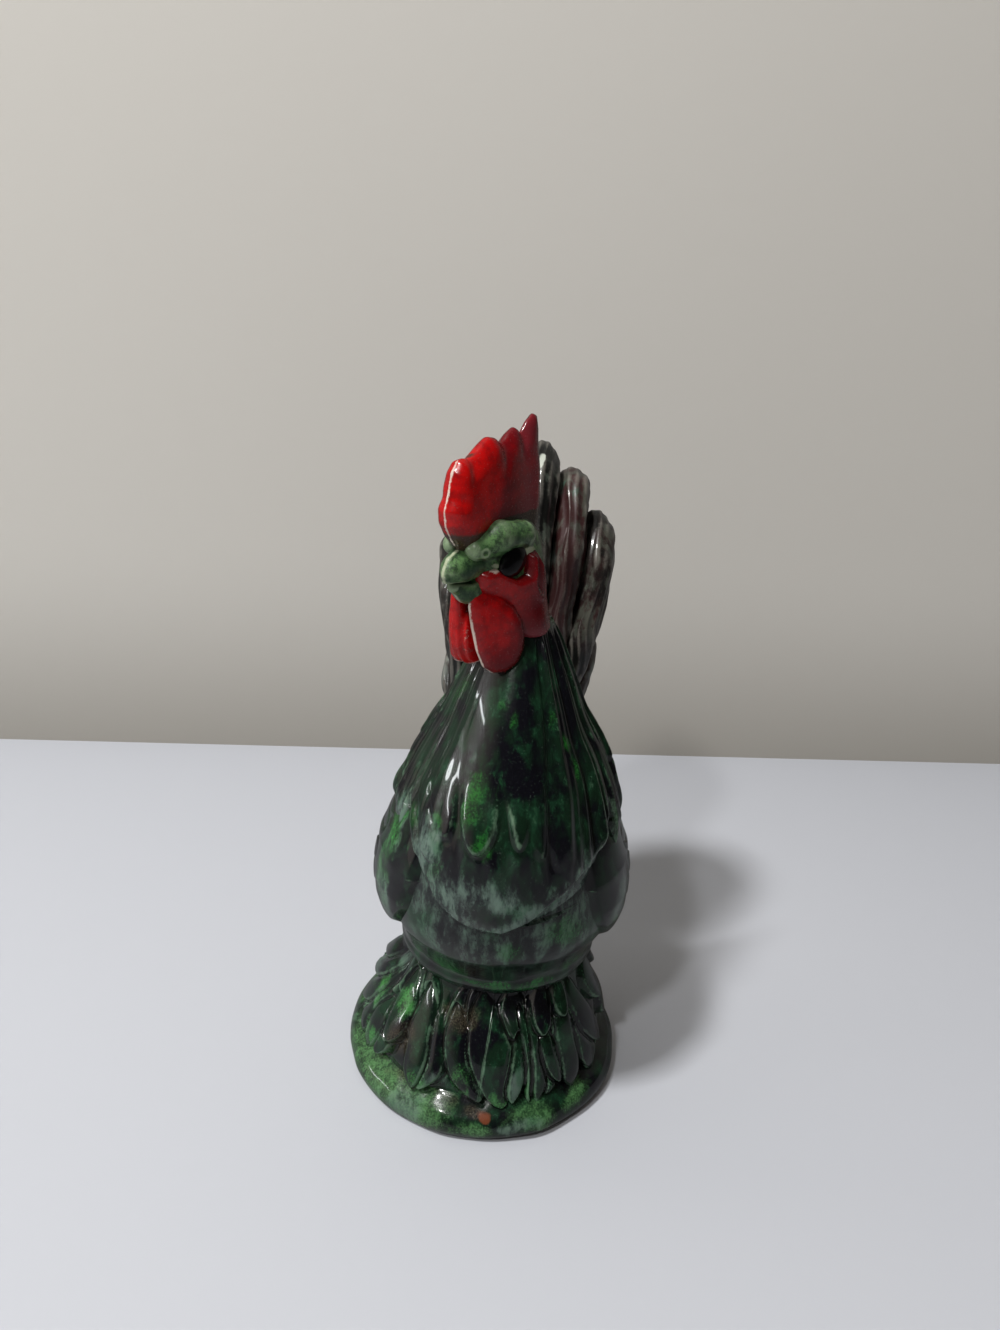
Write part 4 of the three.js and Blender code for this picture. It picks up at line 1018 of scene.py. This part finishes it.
class ROOSTER_OT_saddle(bpy.types.Operator):
    """Model the feathers over the back, in front of the tail"""

    bl_idname = "rooster.saddle"
    bl_label = "Saddle feathers"

    thickness = 6.4
    groove = 0.5
    depth = 2.0  # how far the skin reaches into the body
    sunk = 0.8  # how far the very edge sinks into it
    # Each row of feathers: height of the roots and of the tips, count, shift.
    feather_rows = ((96, 74, 9, 0), (104, 84, 8, 0.5), (112, 93, 7, 0))

    def execute(self, context):
        lift = context.scene.rooster_sizes.wing_lift / MM
        angles = np.radians(np.linspace(18, 162, 300))
        rows = [(height, half, back) for height, half, _, back in BODY_ROWS if 66 <= height <= 120]
        z, half, back = through(rows, np.linspace(0, 1, 170)).T[:, :, None]
        net = np.stack([half * np.cos(angles), back * np.sin(angles), z + 0 * angles], -1)
        angle = np.degrees(angles) + 0 * z
        radius = np.hypot(net[..., 0], net[..., 1])
        feathers = []
        for root, tip, count, shift in self.feather_rows:
            for k in range(count):
                place = 24 + 132 * (k + 0.5 + shift * 0.5) / count
                feathers.append((place, root, place + (90 - place) * 0.05, tip, 12, 0))
        level, _ = feather_relief(angle, z + 0 * angle, radius, feathers, lift, self.groove, (0.5, 0.45))
        within = ease(z, 69, 76) * ease(np.sin(angles), 0.3, 0.55)
        puff = self.thickness * within - self.sunk
        outer = net + outward(net, False) * (puff + soften(level, 1, False) * within)[..., None]
        inner = net - outward(net, False) * self.depth
        form = shell_solid(outer, inner)
        points = form[0]
        emerald = splashes(points, [(-12, 36, 88, 8, 7), (14, 38, 82, 7, 9)])
        milk = splashes(points, [(0, 44, 78, 10, 5), (-20, 30, 96, 6, 6)])
        material = green_glaze("saddle glaze", (52, 124, 48), milk_share=0.5)
        fire("saddle_feathers", form, "dark_green", material, emerald=emerald, milk=milk)
        return {"FINISHED"}


# Tail

TAIL_X, TAIL_Y, TAIL_ROOT, TAIL_TOP = 0.6, 39.0, 94.0, 182.0
PLUME_SPACING = 9.0
# Each pair of plumes: name, wine-brown in the glaze, place in spacings from the middle, height of the
# crest and of the tip above the tail's top, reach to the back, and how far back the foot stands.
PLUMES = [
    ("top", 0.3, 0.45, 0, -46, 22, 0), ("upper", 0.85, 1.5, -8, -66, 23, 0),
    ("outer", 0.5, 2.45, -20.5, -80, 20, 0), ("lower", 0.6, 2.15, -58, -96, 17, 2),
]


class ROOSTER_OT_tail(bpy.types.Operator):
    """Model the tail's core and its eight curved plumes"""

    bl_idname = "rooster.tail"
    bl_label = "Tail"

    half_width = 7.2
    half_thickness = 5.1
    # Raised lines along a plume: angle round it in degrees, height as a share of the rib's, width.
    lines = ((34, 0.9, 0.2), (-30, 0.5, 0.26), (78, 0.6, 0.16))
    strand = 0.14  # height of the fine strands between them
    strands = 11  # how many go round
    barb = 0.05  # height of the small barbs beside them
    wobble = 0.28
    swelling = 0.16  # how much wider a plume is halfway

    def path(self, place, crest, tip, reach, foot, side):
        """Points along the middle of a plume, from its foot over its crest to its tip."""
        if side < 0:  # the plumes on the bird's right stand closer and lower
            place, crest = place * 0.9, crest - 3 * place

        def across(share):
            return TAIL_X + side * (PLUME_SPACING * place * share + (1 - share) * 3)

        top = TAIL_TOP + crest
        rise = top - TAIL_ROOT
        drop = TAIL_TOP + tip
        return [
            (across(0.3), TAIL_Y - 6 + foot, TAIL_ROOT),
            (across(0.75), TAIL_Y - 9 + foot, TAIL_ROOT + rise * 0.42),
            (across(1), TAIL_Y - 6 + foot, TAIL_ROOT + rise * 0.78),
            (across(1.03), TAIL_Y + reach * 0.2, top),
            (across(1.03), TAIL_Y + reach * 0.68, top - 4),
            (across(0.98), TAIL_Y + reach * 0.98, top + (drop - top) * 0.42),
            (across(0.85), TAIL_Y + reach * 0.94, drop),
        ]

    def plume(self, path, rib, rows=230, columns=150):
        """A curved feather with raised lines along it, as rings of points."""
        t = np.linspace(0, 1, rows)
        centre = through(path, t)
        along = np.gradient(centre, axis=0)
        step = np.linalg.norm(along, axis=1, keepdims=True)
        along /= step
        travelled = np.concatenate([[0], np.cumsum(step[1:, 0])])[:, None]
        across = np.array([1.0, 0, 0]) - along * along[:, :1]
        across /= np.linalg.norm(across, axis=1, keepdims=True)
        upright = np.cross(along, across)
        taper = (0.2 + 0.8 * np.sin(math.pi * (0.22 + 0.75 * t)) ** 0.7)[:, None]
        taper = taper * (1 + self.swelling * bell(t - 0.5, 0.16))[:, None]
        angles = turns(columns)
        wide, thick = (np.sign(v) * np.abs(v) ** 0.85 for v in (np.sin(angles), np.cos(angles)))
        turn = angles + 0.3 * np.sin(travelled * 0.09 + travelled[-1]) + 0.1 * np.sin(travelled * 0.31)
        relief = self.strand * np.sin(turn * self.strands + np.sin(travelled * 0.17) * 2)
        for middle, height, width in self.lines:
            for way in (math.radians(middle), math.pi - math.radians(middle)):
                away = (turn - way + math.pi) % (2 * math.pi) - math.pi
                relief = relief + height * rib * bell(away, width)
        barbs = self.barb * np.sin(travelled * 1.3 - np.abs(wide) * 7)
        relief = relief + barbs * ease(np.abs(wide), 0.2, 0.4) * (1 - ease(np.abs(wide), 0.7, 0.85))
        relief = (relief - 0.3) * ease(t, 0.0, 0.1)[:, None] * ease(1 - t, 0, 0.08)[:, None]
        w = self.half_width * taper * wide + relief * wide
        d = self.half_thickness * taper * thick * (1 - 0.25 * wide**2) + relief * thick
        return centre[:, None] + across[:, None] * d[..., None] + upright[:, None] * w[..., None]

    def core(self, rows=150, columns=240):
        """The fluted middle that the plumes stand round, as rings of points."""
        z, y, half, deep = through([
            (86, 37, 11, 8), (103.6, 40, 15.5, 14.5), (125.6, 42, 16.6, 17.4), (146, 43, 15.8, 16.6),
            (160, 43, 12.6, 13), (170, 43, 7, 8), (174, 43, 1.5, 2),
        ], np.linspace(0, 1, rows)).T[:, :, None]
        angles = turns(columns)
        net = np.stack([TAIL_X + half * np.cos(angles), y + deep * np.sin(angles), z + 0 * angles], -1)
        waves = np.sin(angles * self.strands + wander(net, 20, 31) * 1.2) * 0.8
        return net + outward(net, True) * waves[..., None]

    def execute(self, context):
        rib = context.scene.rooster_sizes.rib_height / MM
        material = tail_glaze("tail glaze")
        for name, wine, *shape in PLUMES:
            for word, side in SIDES:
                form = ring_solid(self.plume(self.path(*shape, side), rib))
                points = form[0]
                emerald = splashes(points, [
                    (15, 38, 176, 3.5, 5), (7, 31, 160, 2.5, 14), (-24, 40, 141, 4, 5), (11, 60, 150, 5, 12),
                ])
                milk = splashes(points, [
                    (22.5, 38, 157, 4, 5), (27, 40, 144, 3, 10), (6.5, 31, 156, 3, 14), (-22, 36, 116, 6, 7),
                    (-24, 40, 141, 4, 5), (12, 34, 140, 4, 8), (22, 36, 120, 4, 7), (-10, 66, 150, 6, 10),
                ])
                wear = splashes(points, [(3, 33, 180, 1.8, 11), (3.4, 36, 187, 1.8, 3)])
                shade = np.full(len(points), wine)
                fire(f"tail_plume_{name}_{word}", form, "tail_dark", material, wobble=self.wobble,
                     emerald=emerald, milk=milk, wear=wear, shade=shade)
        fire("tail_core", ring_solid(self.core()), "tail_dark", material)
        return {"FINISHED"}


# Head, in its own frame: the neck's top is the origin and the beak points along -Y


def skull(p):
    """The skull on its neck, with a brow over each eye's hollow and a ring for each nostril."""
    cranium = ball(p, (0, -7.0, 18.6), (9.3, 12.4, 12.2))
    neck = rod(p, (0.4, -1.5, -5), (0, -6.5, 13), 9.7, 9.0)
    forehead = ball(p, (0, -17.0, 23.4), (5.6, 8.0, 7.2))
    muzzle = ball(p, (0, -16.0, 17.0), (6.0, 7.0, 6.4))
    shape = melt(melt(melt(cranium, neck, 4), forehead, 3), muzzle, 3)
    for _, side in SIDES:
        brow = rod(p, (side * 3.6, -24.0, 24.6), (side * 5.2, -17.0, 27.0), 2.8, 3.9)
        brow = melt(brow, rod(p, (side * 5.2, -17.0, 27.0), (side * 6.4, -9.0, 26.6), 3.9, 3.6), 1.5)
        shape = melt(shape, brow, 1.6)
        shape = carve(shape, ball(p, (side * 10.4, -13.2, 19.8), (3.4, 5.8, 5.0)), 1.0)
        ring = ball(p, (side * 5.8, -23.4, 24.2), (1.5, 1.6, 1.6))
        shape = carve(melt(shape, ring, 0.5), ball(p, (side * 7.4, -24.2, 24.2), (1.1, 0.9, 0.9)), 0.4)
        crease = rod(p, (side * 5.4, -26.0, 21.6), (side * 7.2, -18.0, 21.4), 0.7, 0.9)
        shape = carve(shape, crease, 0.9)
    return shape


def outline_distance(y, z, outline):
    """Distance in the plane to a closed outline, below zero inside it."""
    nearest = np.full(np.broadcast(y, z).shape, np.inf)
    crossings = np.zeros(nearest.shape, int)
    corners = np.asarray(outline, float)
    for (y0, z0), (y1, z1) in zip(corners, np.roll(corners, -1, axis=0)):
        dy, dz = y1 - y0, z1 - z0
        t = np.clip(((y - y0) * dy + (z - z0) * dz) / (dy * dy + dz * dz), 0, 1)
        nearest = np.minimum(nearest, np.hypot(y - y0 - t * dy, z - z0 - t * dz))
        spans = (z0 <= z) != (z1 <= z)
        crossings += spans & (y < y0 + (z - z0) * dy / (dz if dz else 1))
    return np.where(crossings % 2 == 1, -nearest, nearest)


def pillow(x, distance, half, edge):
    """A flat form of half thickness half, rounded off within edge of its outline."""
    return (np.hypot(x / half, np.maximum(1 + distance / edge, 0)) - 1) * np.minimum(half, edge)


COMB_OUTLINE = [
    (-26.4, 24.2), (-29.6, 27.4), (-32.0, 31.0), (-32.6, 34.8), (-31.4, 37.8), (-30.8, 41.0), (-30.2, 44.0),
    (-28.4, 46.6), (-26.2, 47.0), (-24.6, 46.6), (-22.6, 47.6), (-19.8, 49.6), (-17.2, 51.2), (-14.6, 50.8),
    (-12.6, 49.4), (-11.2, 49.4), (-9.0, 51.4), (-6.6, 52.9), (-4.6, 52.0), (-3.4, 51.0), (-1.0, 53.8),
    (1.4, 55.6), (3.2, 55.0), (4.0, 51.6), (3.8, 46.0), (4.6, 40.0), (5.4, 34.0), (5.2, 28.0), (3.4, 22.5),
    (-2.0, 24.0), (-10.0, 26.0), (-18.0, 25.0), (-23.0, 22.0),
]
# Grooves between the comb's points, each from its notch down: (y, z) to (y, z), and its depth.
COMB_GROOVES = [
    ((-24.8, 48.0), (-27.2, 38.0), 1.3), ((-11.6, 49.4), (-14.5, 41.0), 1.1),
    ((-3.6, 51.6), (-5.4, 43.0), 1.1), ((-31.5, 38.0), (-27.0, 36.5), 0.7),
]


def comb(p):
    """A row of flame-shaped points that run together at the root."""
    y, z = p[..., 1], p[..., 2]
    half = 4.6 - 1.9 * ease(z, 38, 55) - 0.9 * ease(y, -14, 2)
    for (y0, z0), (y1, z1), depth in COMB_GROOVES:
        dy, dz = y1 - y0, z1 - z0
        t = np.clip(((y - y0) * dy + (z - z0) * dz) / (dy * dy + dz * dz), 0, 1)
        away = np.hypot(y - y0 - t * dy, z - z0 - t * dz)
        half = half - depth * bell(away, 1.5) * (1 - t)
    body = pillow(p[..., 0], outline_distance(y, z, COMB_OUTLINE), half, 4.6)
    seam = rod(p, (0, -32.1, 34.5), (0, -29.5, 44.0), 0.55, 0.5)
    seam = np.minimum(seam, rod(p, (0, -26.6, 25.0), (0, -32.1, 34.5), 0.5, 0.55))
    return melt(body, seam, 0.8)


MOUTH_GAP = 0.6


def mouth(p):
    """Height of the line where the beak closes, which dips halfway along."""
    y = p[..., 1]
    return 0.1 * (y + 31) + 16 - 0.9 * bell(y + 24, 3)


def upper_beak(p):
    """A blunt bill with a raised seam down its middle, hooked over the mouth."""
    shape = melt(rod(p, (0, -14, 20.6), (0, -24.0, 20.2), 5.6, 4.4),
                 ball(p, (0, -27.0, 19.4), (3.7, 4.5, 4.1)), 1.6)
    shape = melt(shape, rod(p, (0, -30.0, 19.0), (0, -30.4, 15.8), 1.9, 0.9), 1.4)
    for start, end in (((0, -17, 25.0), (0, -25.4, 23.8)), ((0, -25.4, 23.8), (0, -30.0, 22.0)),
                       ((0, -30.0, 22.0), (0, -31.6, 18.4))):
        shape = melt(shape, rod(p, start, end, 0.55, 0.5), 0.9)
    return carve(shape, p[..., 2] - mouth(p) - MOUTH_GAP / 2, 0.5)


def lower_beak(p):
    """The short lower half of the bill, closed up to the mouth's line."""
    shape = melt(rod(p, (0, -14, 12.6), (0, -22.4, 13.4), 5.0, 4.0),
                 rod(p, (0, -22.4, 13.4), (0, -27.6, 15.0), 3.8, 1.8), 1.5)
    return carve(shape, mouth(p) - MOUTH_GAP / 2 - p[..., 2], 0.5)


# The red skin of the cheek and ear lobe, seen from the side
CHEEK_OUTLINE = [
    (-22.6, 18.2), (-19.0, 19.4), (-15.6, 17.4), (-12.4, 15.8), (-10.0, 16.6), (-9.2, 18.4), (-8.8, 21.8),
    (-5.8, 22.6), (-3.0, 19.0), (-0.6, 13.5), (2.4, 8.0), (3.6, 3.0), (2.4, -1.4), (-2.0, -3.0), (-7.0, -2.6),
    (-11.0, -0.6), (-14.0, 3.0), (-18.0, 7.0), (-21.6, 10.6), (-23.4, 14.0),
]
CHEEK_SWELL, LOBE_SWELL = 1.7, 1.0  # how far the cheek stands off the skull, and its lobe off the cheek
LOBE_SPREAD = 22.0  # square of the distance over which the lobe falls away


def cheek(side):
    """Red skin that lies on the skull below and behind the eye, and swells into the ear lobe."""
    def shape(p):
        y, z = p[..., 1], p[..., 2]
        lobe = np.exp(-((y + 5) ** 2 + (z - 3) ** 2) / LOBE_SPREAD)
        swell = CHEEK_SWELL + LOBE_SWELL * lobe
        fold = np.hypot(y + 8.4 - 0.12 * (z - 15) ** 2 * (z < 15), np.maximum(np.abs(z - 15) - 5.5, 0))
        valley = 0.7 * bell(fold - 2, 1) * ease(y, -9.5, -6.5) * ease(z, 10, 14)
        swell = swell + 0.8 * bell(fold, 1) - valley
        edge = outline_distance(y, z, CHEEK_OUTLINE)
        skin = skull(p) - swell * ease(-edge, -0.2, 1.6)
        slab = np.maximum(edge, 2.5 - side * p[..., 0])
        return -melt(-skin, -slab, 0.8)
    return shape


WATTLE_OUTLINE = [
    (0.0, 12.5), (-0.5, 9.0), (0.6, 3.1), (2.4, -3.4), (4.4, -8.0), (7.0, -10.0), (10.8, -10.2), (14.0, -8.0),
    (15.8, -4.2), (16.0, -0.2), (15.0, 4.4), (12.6, 8.4), (9.0, 11.0), (4.0, 13.0),
]
WATTLE_SPLAY = 0.5


def wattle(side):
    """A round hanging lobe, splayed back from the throat, with a worn front edge."""
    cos, sin = math.cos(WATTLE_SPLAY), math.sin(WATTLE_SPLAY)

    def shape(p):
        x = p[..., 0] * side - 2.2
        y = p[..., 1] + 23.6
        along, off = y * cos + x * sin, x * cos - y * sin
        swell = 2.7 - 0.5 * ease(p[..., 2], 4, 12)
        disc = pillow(off, outline_distance(along, p[..., 2], WATTLE_OUTLINE), swell, 3.2)
        if side > 0:
            return disc
        flutes = 0.4 * np.cos(p[..., 0] * 2.9 + 0.6) * ease(-y, -9, -2)
        throat = ball(p, (-2.6, -15.2, -0.2), (4.9, 7.0, 9.8)) - flutes
        return melt(disc, throat, 1.5)
    return shape


def eye(side):
    """A large almond that points down towards the beak."""
    def shape(p):
        y, z = p[..., 1] + 13.2, p[..., 2] - 20.2
        tilt = 0.5
        q = np.stack([p[..., 0] - side * 7.0, y * math.cos(tilt) + z * math.sin(tilt),
                      z * math.cos(tilt) - y * math.sin(tilt)], -1)
        pinch = 1 + 0.35 * ease(-q[..., 1], 0.5, 4.5)
        return ball(q * np.stack([np.ones_like(pinch), np.ones_like(pinch), pinch], -1),
                    (0, 0, 0), (2.7, 5.2, 4.4))
    return shape


def head_form(shape, low, high, cell=0.42):
    """Points of a cast shape in the head's own frame, and the form that they make in the bird's."""
    points, quads, fans = cast(shape, low, high, cell)
    return points, (in_bird(points), quads, fans)


class ROOSTER_OT_head(bpy.types.Operator):
    """Model the skull with its brows, and the beak"""

    bl_idname = "rooster.head"
    bl_label = "Head and beak"

    def execute(self, context):
        material = face_glaze("face glaze")
        own, form = head_form(skull, (-14, -29, -14), (14, 12, 36))
        wear = splashes(own, [
            (8.5, -7, 24, 2.4, 3), (-8.5, -7, 24, 2.4, 3), (6.2, -20, 20, 2, 1.2), (-6.2, -20, 20, 2, 1.2),
        ])
        fire("head", form, "face_sage", material, wear=wear, band=1 - ease(own[:, 2], 0, 5))
        own, form = head_form(upper_beak, (-8, -34, 10), (8, -8, 30), 0.36)
        wear = bell(own[:, 0], 0.8) * ease(-own[:, 1], 18, 21)
        fire("beak_upper", form, "face_sage", material, wear=wear)
        own, form = head_form(lower_beak, (-8, -32, 5), (8, -7, 20), 0.36)
        wear = bell(own[:, 0], 1) * (1 - ease(own[:, 2], 12, 15))
        fire("beak_lower", form, "face_sage", material, wear=wear)
        return {"FINISHED"}


class ROOSTER_OT_red_parts(bpy.types.Operator):
    """Model the comb, the cheeks with their ear lobes and the wattles"""

    bl_idname = "rooster.red_parts"
    bl_label = "Comb, cheeks and wattles"

    def execute(self, context):
        material = red_glaze("red glaze")
        own, form = head_form(comb, (-7, -35, 18), (7, 8, 58))
        x, y, z = own.T
        front = ease(-y, 25, 29.5)
        scuff = splashes(own, [(0, -24.5, 46.6, 2.6, 2.2), (0, -3.6, 52, 1.6, 2), (0, 1.5, 55, 1.6, 2.4)])
        wear = 0.95 * bell(x, 0.6) * front + 0.3 * bell(x, 0.9) * ease(z, 46, 50)
        back = ease(y, -22, -14)
        root = 1 - ease(z, 27.6 + 2.4 * back, 30.8 + 2 * back)
        # The comb's rear part gets a painted mauve sheen, standing for a reflection.
        fire("comb", form, "comb_red", material, wear=wear,
             wine=ease(y, -22, -11) * 0.75 + ease(-z, -36, -26) * 0.5,
             bloom=ease(y, -15, -3) * 0.9, creep=np.maximum(scuff * 0.85, root))
        for word, side in SIDES:
            low, high = (min(side * 15, 0), -27, -8), (max(side * 15, 0), 7, 26)
            own, form = head_form(cheek(side), low, high)
            x, y, z = own.T
            # Painted sheen: a mauve reflection is painted over the cheek's lowest part.
            fire(f"cheek_{word}", form, "comb_red", material,
                 wine=0.5 + ease(y, -14, -4) * 0.4 + ease(-z, -6, 2) * 0.3, bloom=1 - ease(z, -1, 5),
                 wear=splashes(own, [(side * 6, -20, 18.6, 2.4, 1.4), (side * 8.6, -6, 22, 2, 2)]) * 0.8)
            own, form = head_form(wattle(side), (-15, -30, -15), (15, 0, 17), 0.38)
            x, y, z = own.T
            front = (x * side - 2.2) * math.sin(WATTLE_SPLAY) + (y + 23.6) * math.cos(WATTLE_SPLAY)
            edge = np.interp(z, [-10, -8, -3.4, 3.1, 9], [7, 4.4, 2.4, 0.6, -0.5])
            worn_and_lit = 0.9 * bell(front - edge, 0.5)
            deep = 0.45 + ease(y, -19, -9) * 0.5 + 0.35 * (1 - ease(z, -8, 0))
            # Painted light: the bird's right wattle, which faces the lamps, gets scattered pale highlights and
            # less wine, so it reads lighter than the left one.
            if side < 0:
                worn_and_lit = 0.38 + 0.2 * bell(x + 0.4, 1)
                deep = 0.4 * ease(y, -19, -9)
            fire(f"wattle_{word}", form, "comb_red", material,
                 wear=worn_and_lit + 0.45 * (1 - ease(z, -10, -8)), wine=deep)
        return {"FINISHED"}


class ROOSTER_OT_eyes(bpy.types.Operator):
    """Model the two raised black eyes"""

    bl_idname = "rooster.eyes"
    bl_label = "Eyes"

    def execute(self, context):
        material = eye_glaze("eye glaze")
        for word, side in SIDES:
            low, high = (side * 7 - 5, -21, 12), (side * 7 + 5, -5, 28)
            _, form = head_form(eye(side), low, high, 0.34)
            fire(f"eye_{word}", form, "eye_black", material)
        return {"FINISHED"}


class ROOSTER_OT_stage(bpy.types.Operator):
    """Lay the table and wall, hang the lamps and place the camera"""

    bl_idname = "rooster.stage"
    bl_label = "Stage"

    camera_place = (-1.49, -263.12, 240.96)  # from the base's middle
    camera_pitch = 22.07
    camera_roll = 3.5
    focal_share = 1000 / 1330  # focal length as a share of the picture's long side
    wall_distance = 209.0
    wall_turn = 4.52  # degrees
    wide = 1500.0
    aim = 90.0  # the height that the lamps point at
    table_paint = (190, 193, 200)
    wall_paint = (200, 197, 190)
    painted_wall_foot_shade = (158, 154, 146)
    wall_shade = (-0.03, 0.11)  # heights in metres over which the painted shade at the wall's foot fades into the wall's colour
    hidden = 0.74  # how much of the table and wall the gloss doesn't mirror
    fill = 0.13  # strength of the room's light
    seen_fill = 0.54  # how much more of it the camera sees
    # Name, direction from the bird, distance, width, height, power, colour.
    lamps = (
        ("ceiling left", (-0.45, -0.32, 1), 1600, 170, 170, 22.5, (1, 0.99, 0.98)),
        ("ceiling front", (-0.46, -0.8, 1), 1600, 110, 110, 7.0, (1, 0.99, 0.98)),
        ("window", (-0.95, -0.17, 0.25), 1100, 380, 30, 0.7, (0.95, 0.98, 1)),
    )

    def plain(self, name, colour, low, roughness=0.9):
        """Paint that passes from a low colour to a higher one, which on the wall is a painted shade at its
        foot, and shows only faintly in the gloss.
        """
        shader = Shader(name)
        place = shader.node("ShaderNodeTexCoord", output="Object")
        height = shader.node("ShaderNodeSeparateXYZ", inputs={"Vector": place}, output="Z")
        shade = shader.mix(shader.step(height, *self.wall_shade), srgb(*low), srgb(*colour))
        glossy = shader.node("ShaderNodeLightPath", output="Is Glossy Ray")
        shade = shader.mix(glossy * self.hidden, shade, srgb(20, 20, 20))
        paint = {"Base Color": shade, "Roughness": roughness}
        surface = shader.node("ShaderNodeBsdfPrincipled", inputs=paint)
        shader.node("ShaderNodeOutputMaterial", inputs={"Surface": surface})
        return shader.material

    def sheet(self, name, corners, material):
        """A flat piece of the stage."""
        mesh = bpy.data.meshes.new(name)
        mesh.from_pydata([tuple(np.array(c) * MM) for c in corners], [], [(0, 1, 2, 3)])
        mesh.materials.append(material)
        made = bpy.data.objects.new(name, mesh)
        bpy.context.scene.collection.objects.link(made)

    def lamp(self, name, towards, distance, wide, tall, power, colour):
        """A soft lamp that far from the bird, in the direction of towards."""
        light = bpy.data.lights.new(name, "AREA")
        light.energy = power
        light.color = colour
        light.shape = "RECTANGLE"
        light.size, light.size_y = wide * MM, tall * MM
        made = bpy.data.objects.new(name, light)
        direction = Vector(towards).normalized()
        made.location = Vector((BASE_MIDDLE + (0, 0, self.aim)) * MM) + direction * distance * MM
        made.rotation_euler = (-direction).to_track_quat("-Z", "Y").to_euler()
        bpy.context.scene.collection.objects.link(made)

    def room(self):
        """Soft light from all round, of which the gloss mirrors only a glow from the bird's right."""
        world = bpy.data.worlds.new("room")
        shader = Shader("room", world)
        glossy = shader.node("ShaderNodeLightPath", output="Is Glossy Ray")
        towards = shader.node("ShaderNodeTexCoord", output="Generated")
        sideways = shader.node("ShaderNodeSeparateXYZ", inputs={"Vector": towards}, output="X")
        glow = shader.step(0 - sideways, 0.45, 1.0)
        seen = shader.node("ShaderNodeLightPath", output="Is Camera Ray")
        light = self.fill + seen * self.seen_fill - glossy * (self.fill - 0.02 - glow * 0.5)
        surface = shader.node("ShaderNodeBackground", inputs={"Color": (1, 0.9, 0.8, 1), "Strength": light})
        shader.node("ShaderNodeOutputWorld", inputs={"Surface": surface})
        return world

    def execute(self, context):
        scene = context.scene
        pitch, roll = math.radians(self.camera_pitch), math.radians(self.camera_roll)
        level_up = Vector((0, math.sin(pitch), math.cos(pitch)))
        sideways = Vector((1, 0, 0))
        right = sideways * math.cos(roll) + level_up * math.sin(roll)
        up = level_up * math.cos(roll) - sideways * math.sin(roll)
        turn = Matrix((right, up, right.cross(up))).transposed()
        camera = bpy.data.objects.new("camera", bpy.data.cameras.new("camera"))
        camera.data.lens = camera.data.sensor_width * self.focal_share
        place = Vector((BASE_MIDDLE + self.camera_place) * MM)
        camera.matrix_world = Matrix.Translation(place) @ turn.to_4x4()
        scene.collection.objects.link(camera)
        scene.camera = camera

        along = np.array([math.cos(math.radians(self.wall_turn)), math.sin(math.radians(self.wall_turn)), 0])
        away = np.array([-along[1], along[0], 0])
        foot = BASE_MIDDLE + away * self.wall_distance
        left, right_end = foot - along * self.wide, foot + along * self.wide
        near = -away * (self.wide + self.wall_distance)
        table = self.plain("table", self.table_paint, self.table_paint, 0.5)
        # The wall is painted darker at its foot, a painted shade by the table.
        wall = self.plain("wall", self.wall_paint, self.painted_wall_foot_shade)
        self.sheet("table", [left + near, right_end + near, right_end, left], table)
        high = np.array([0, 0, self.wide])
        self.sheet("backdrop", [left, right_end, right_end + high, left + high], wall)

        for lamp in self.lamps:
            self.lamp(*lamp)
        scene.world = self.room()
        scene.view_settings.view_transform = "Standard"
        return {"FINISHED"}


class ROOSTER_PT_pieces(bpy.types.Panel):
    """The figurine's pieces, in the order that they are made"""

    bl_label = "Glazed Rooster"
    bl_idname = "ROOSTER_PT_pieces"
    bl_space_type = "VIEW_3D"
    bl_region_type = "UI"
    bl_category = "Rooster"

    def draw(self, context):
        for group in (context.scene.rooster_sizes, context.scene.rooster_glazes):
            box = self.layout.box()
            for name in group.__annotations__:
                box.prop(group, name)
        for operator in OPERATORS:
            self.layout.operator(operator.bl_idname)


OPERATORS = (
    ROOSTER_OT_stage,
    ROOSTER_OT_base,
    ROOSTER_OT_thighs,
    ROOSTER_OT_body,
    ROOSTER_OT_hackle,
    ROOSTER_OT_wings,
    ROOSTER_OT_saddle,
    ROOSTER_OT_tail,
    ROOSTER_OT_head,
    ROOSTER_OT_red_parts,
    ROOSTER_OT_eyes,
)
CLASSES = (ReliefSizes, GlazeColours, *OPERATORS, ROOSTER_PT_pieces)


def register():
    for made in CLASSES:
        bpy.utils.register_class(made)
    bpy.types.Scene.rooster_sizes = PointerProperty(type=ReliefSizes)
    bpy.types.Scene.rooster_glazes = PointerProperty(type=GlazeColours)


def unregister():
    del bpy.types.Scene.rooster_glazes
    del bpy.types.Scene.rooster_sizes
    for made in reversed(CLASSES):
        bpy.utils.unregister_class(made)


def main():
    register()
    for operator in OPERATORS:
        family, name = operator.bl_idname.split(".")
        getattr(getattr(bpy.ops, family), name)()


if __name__ == "__main__":
    main()
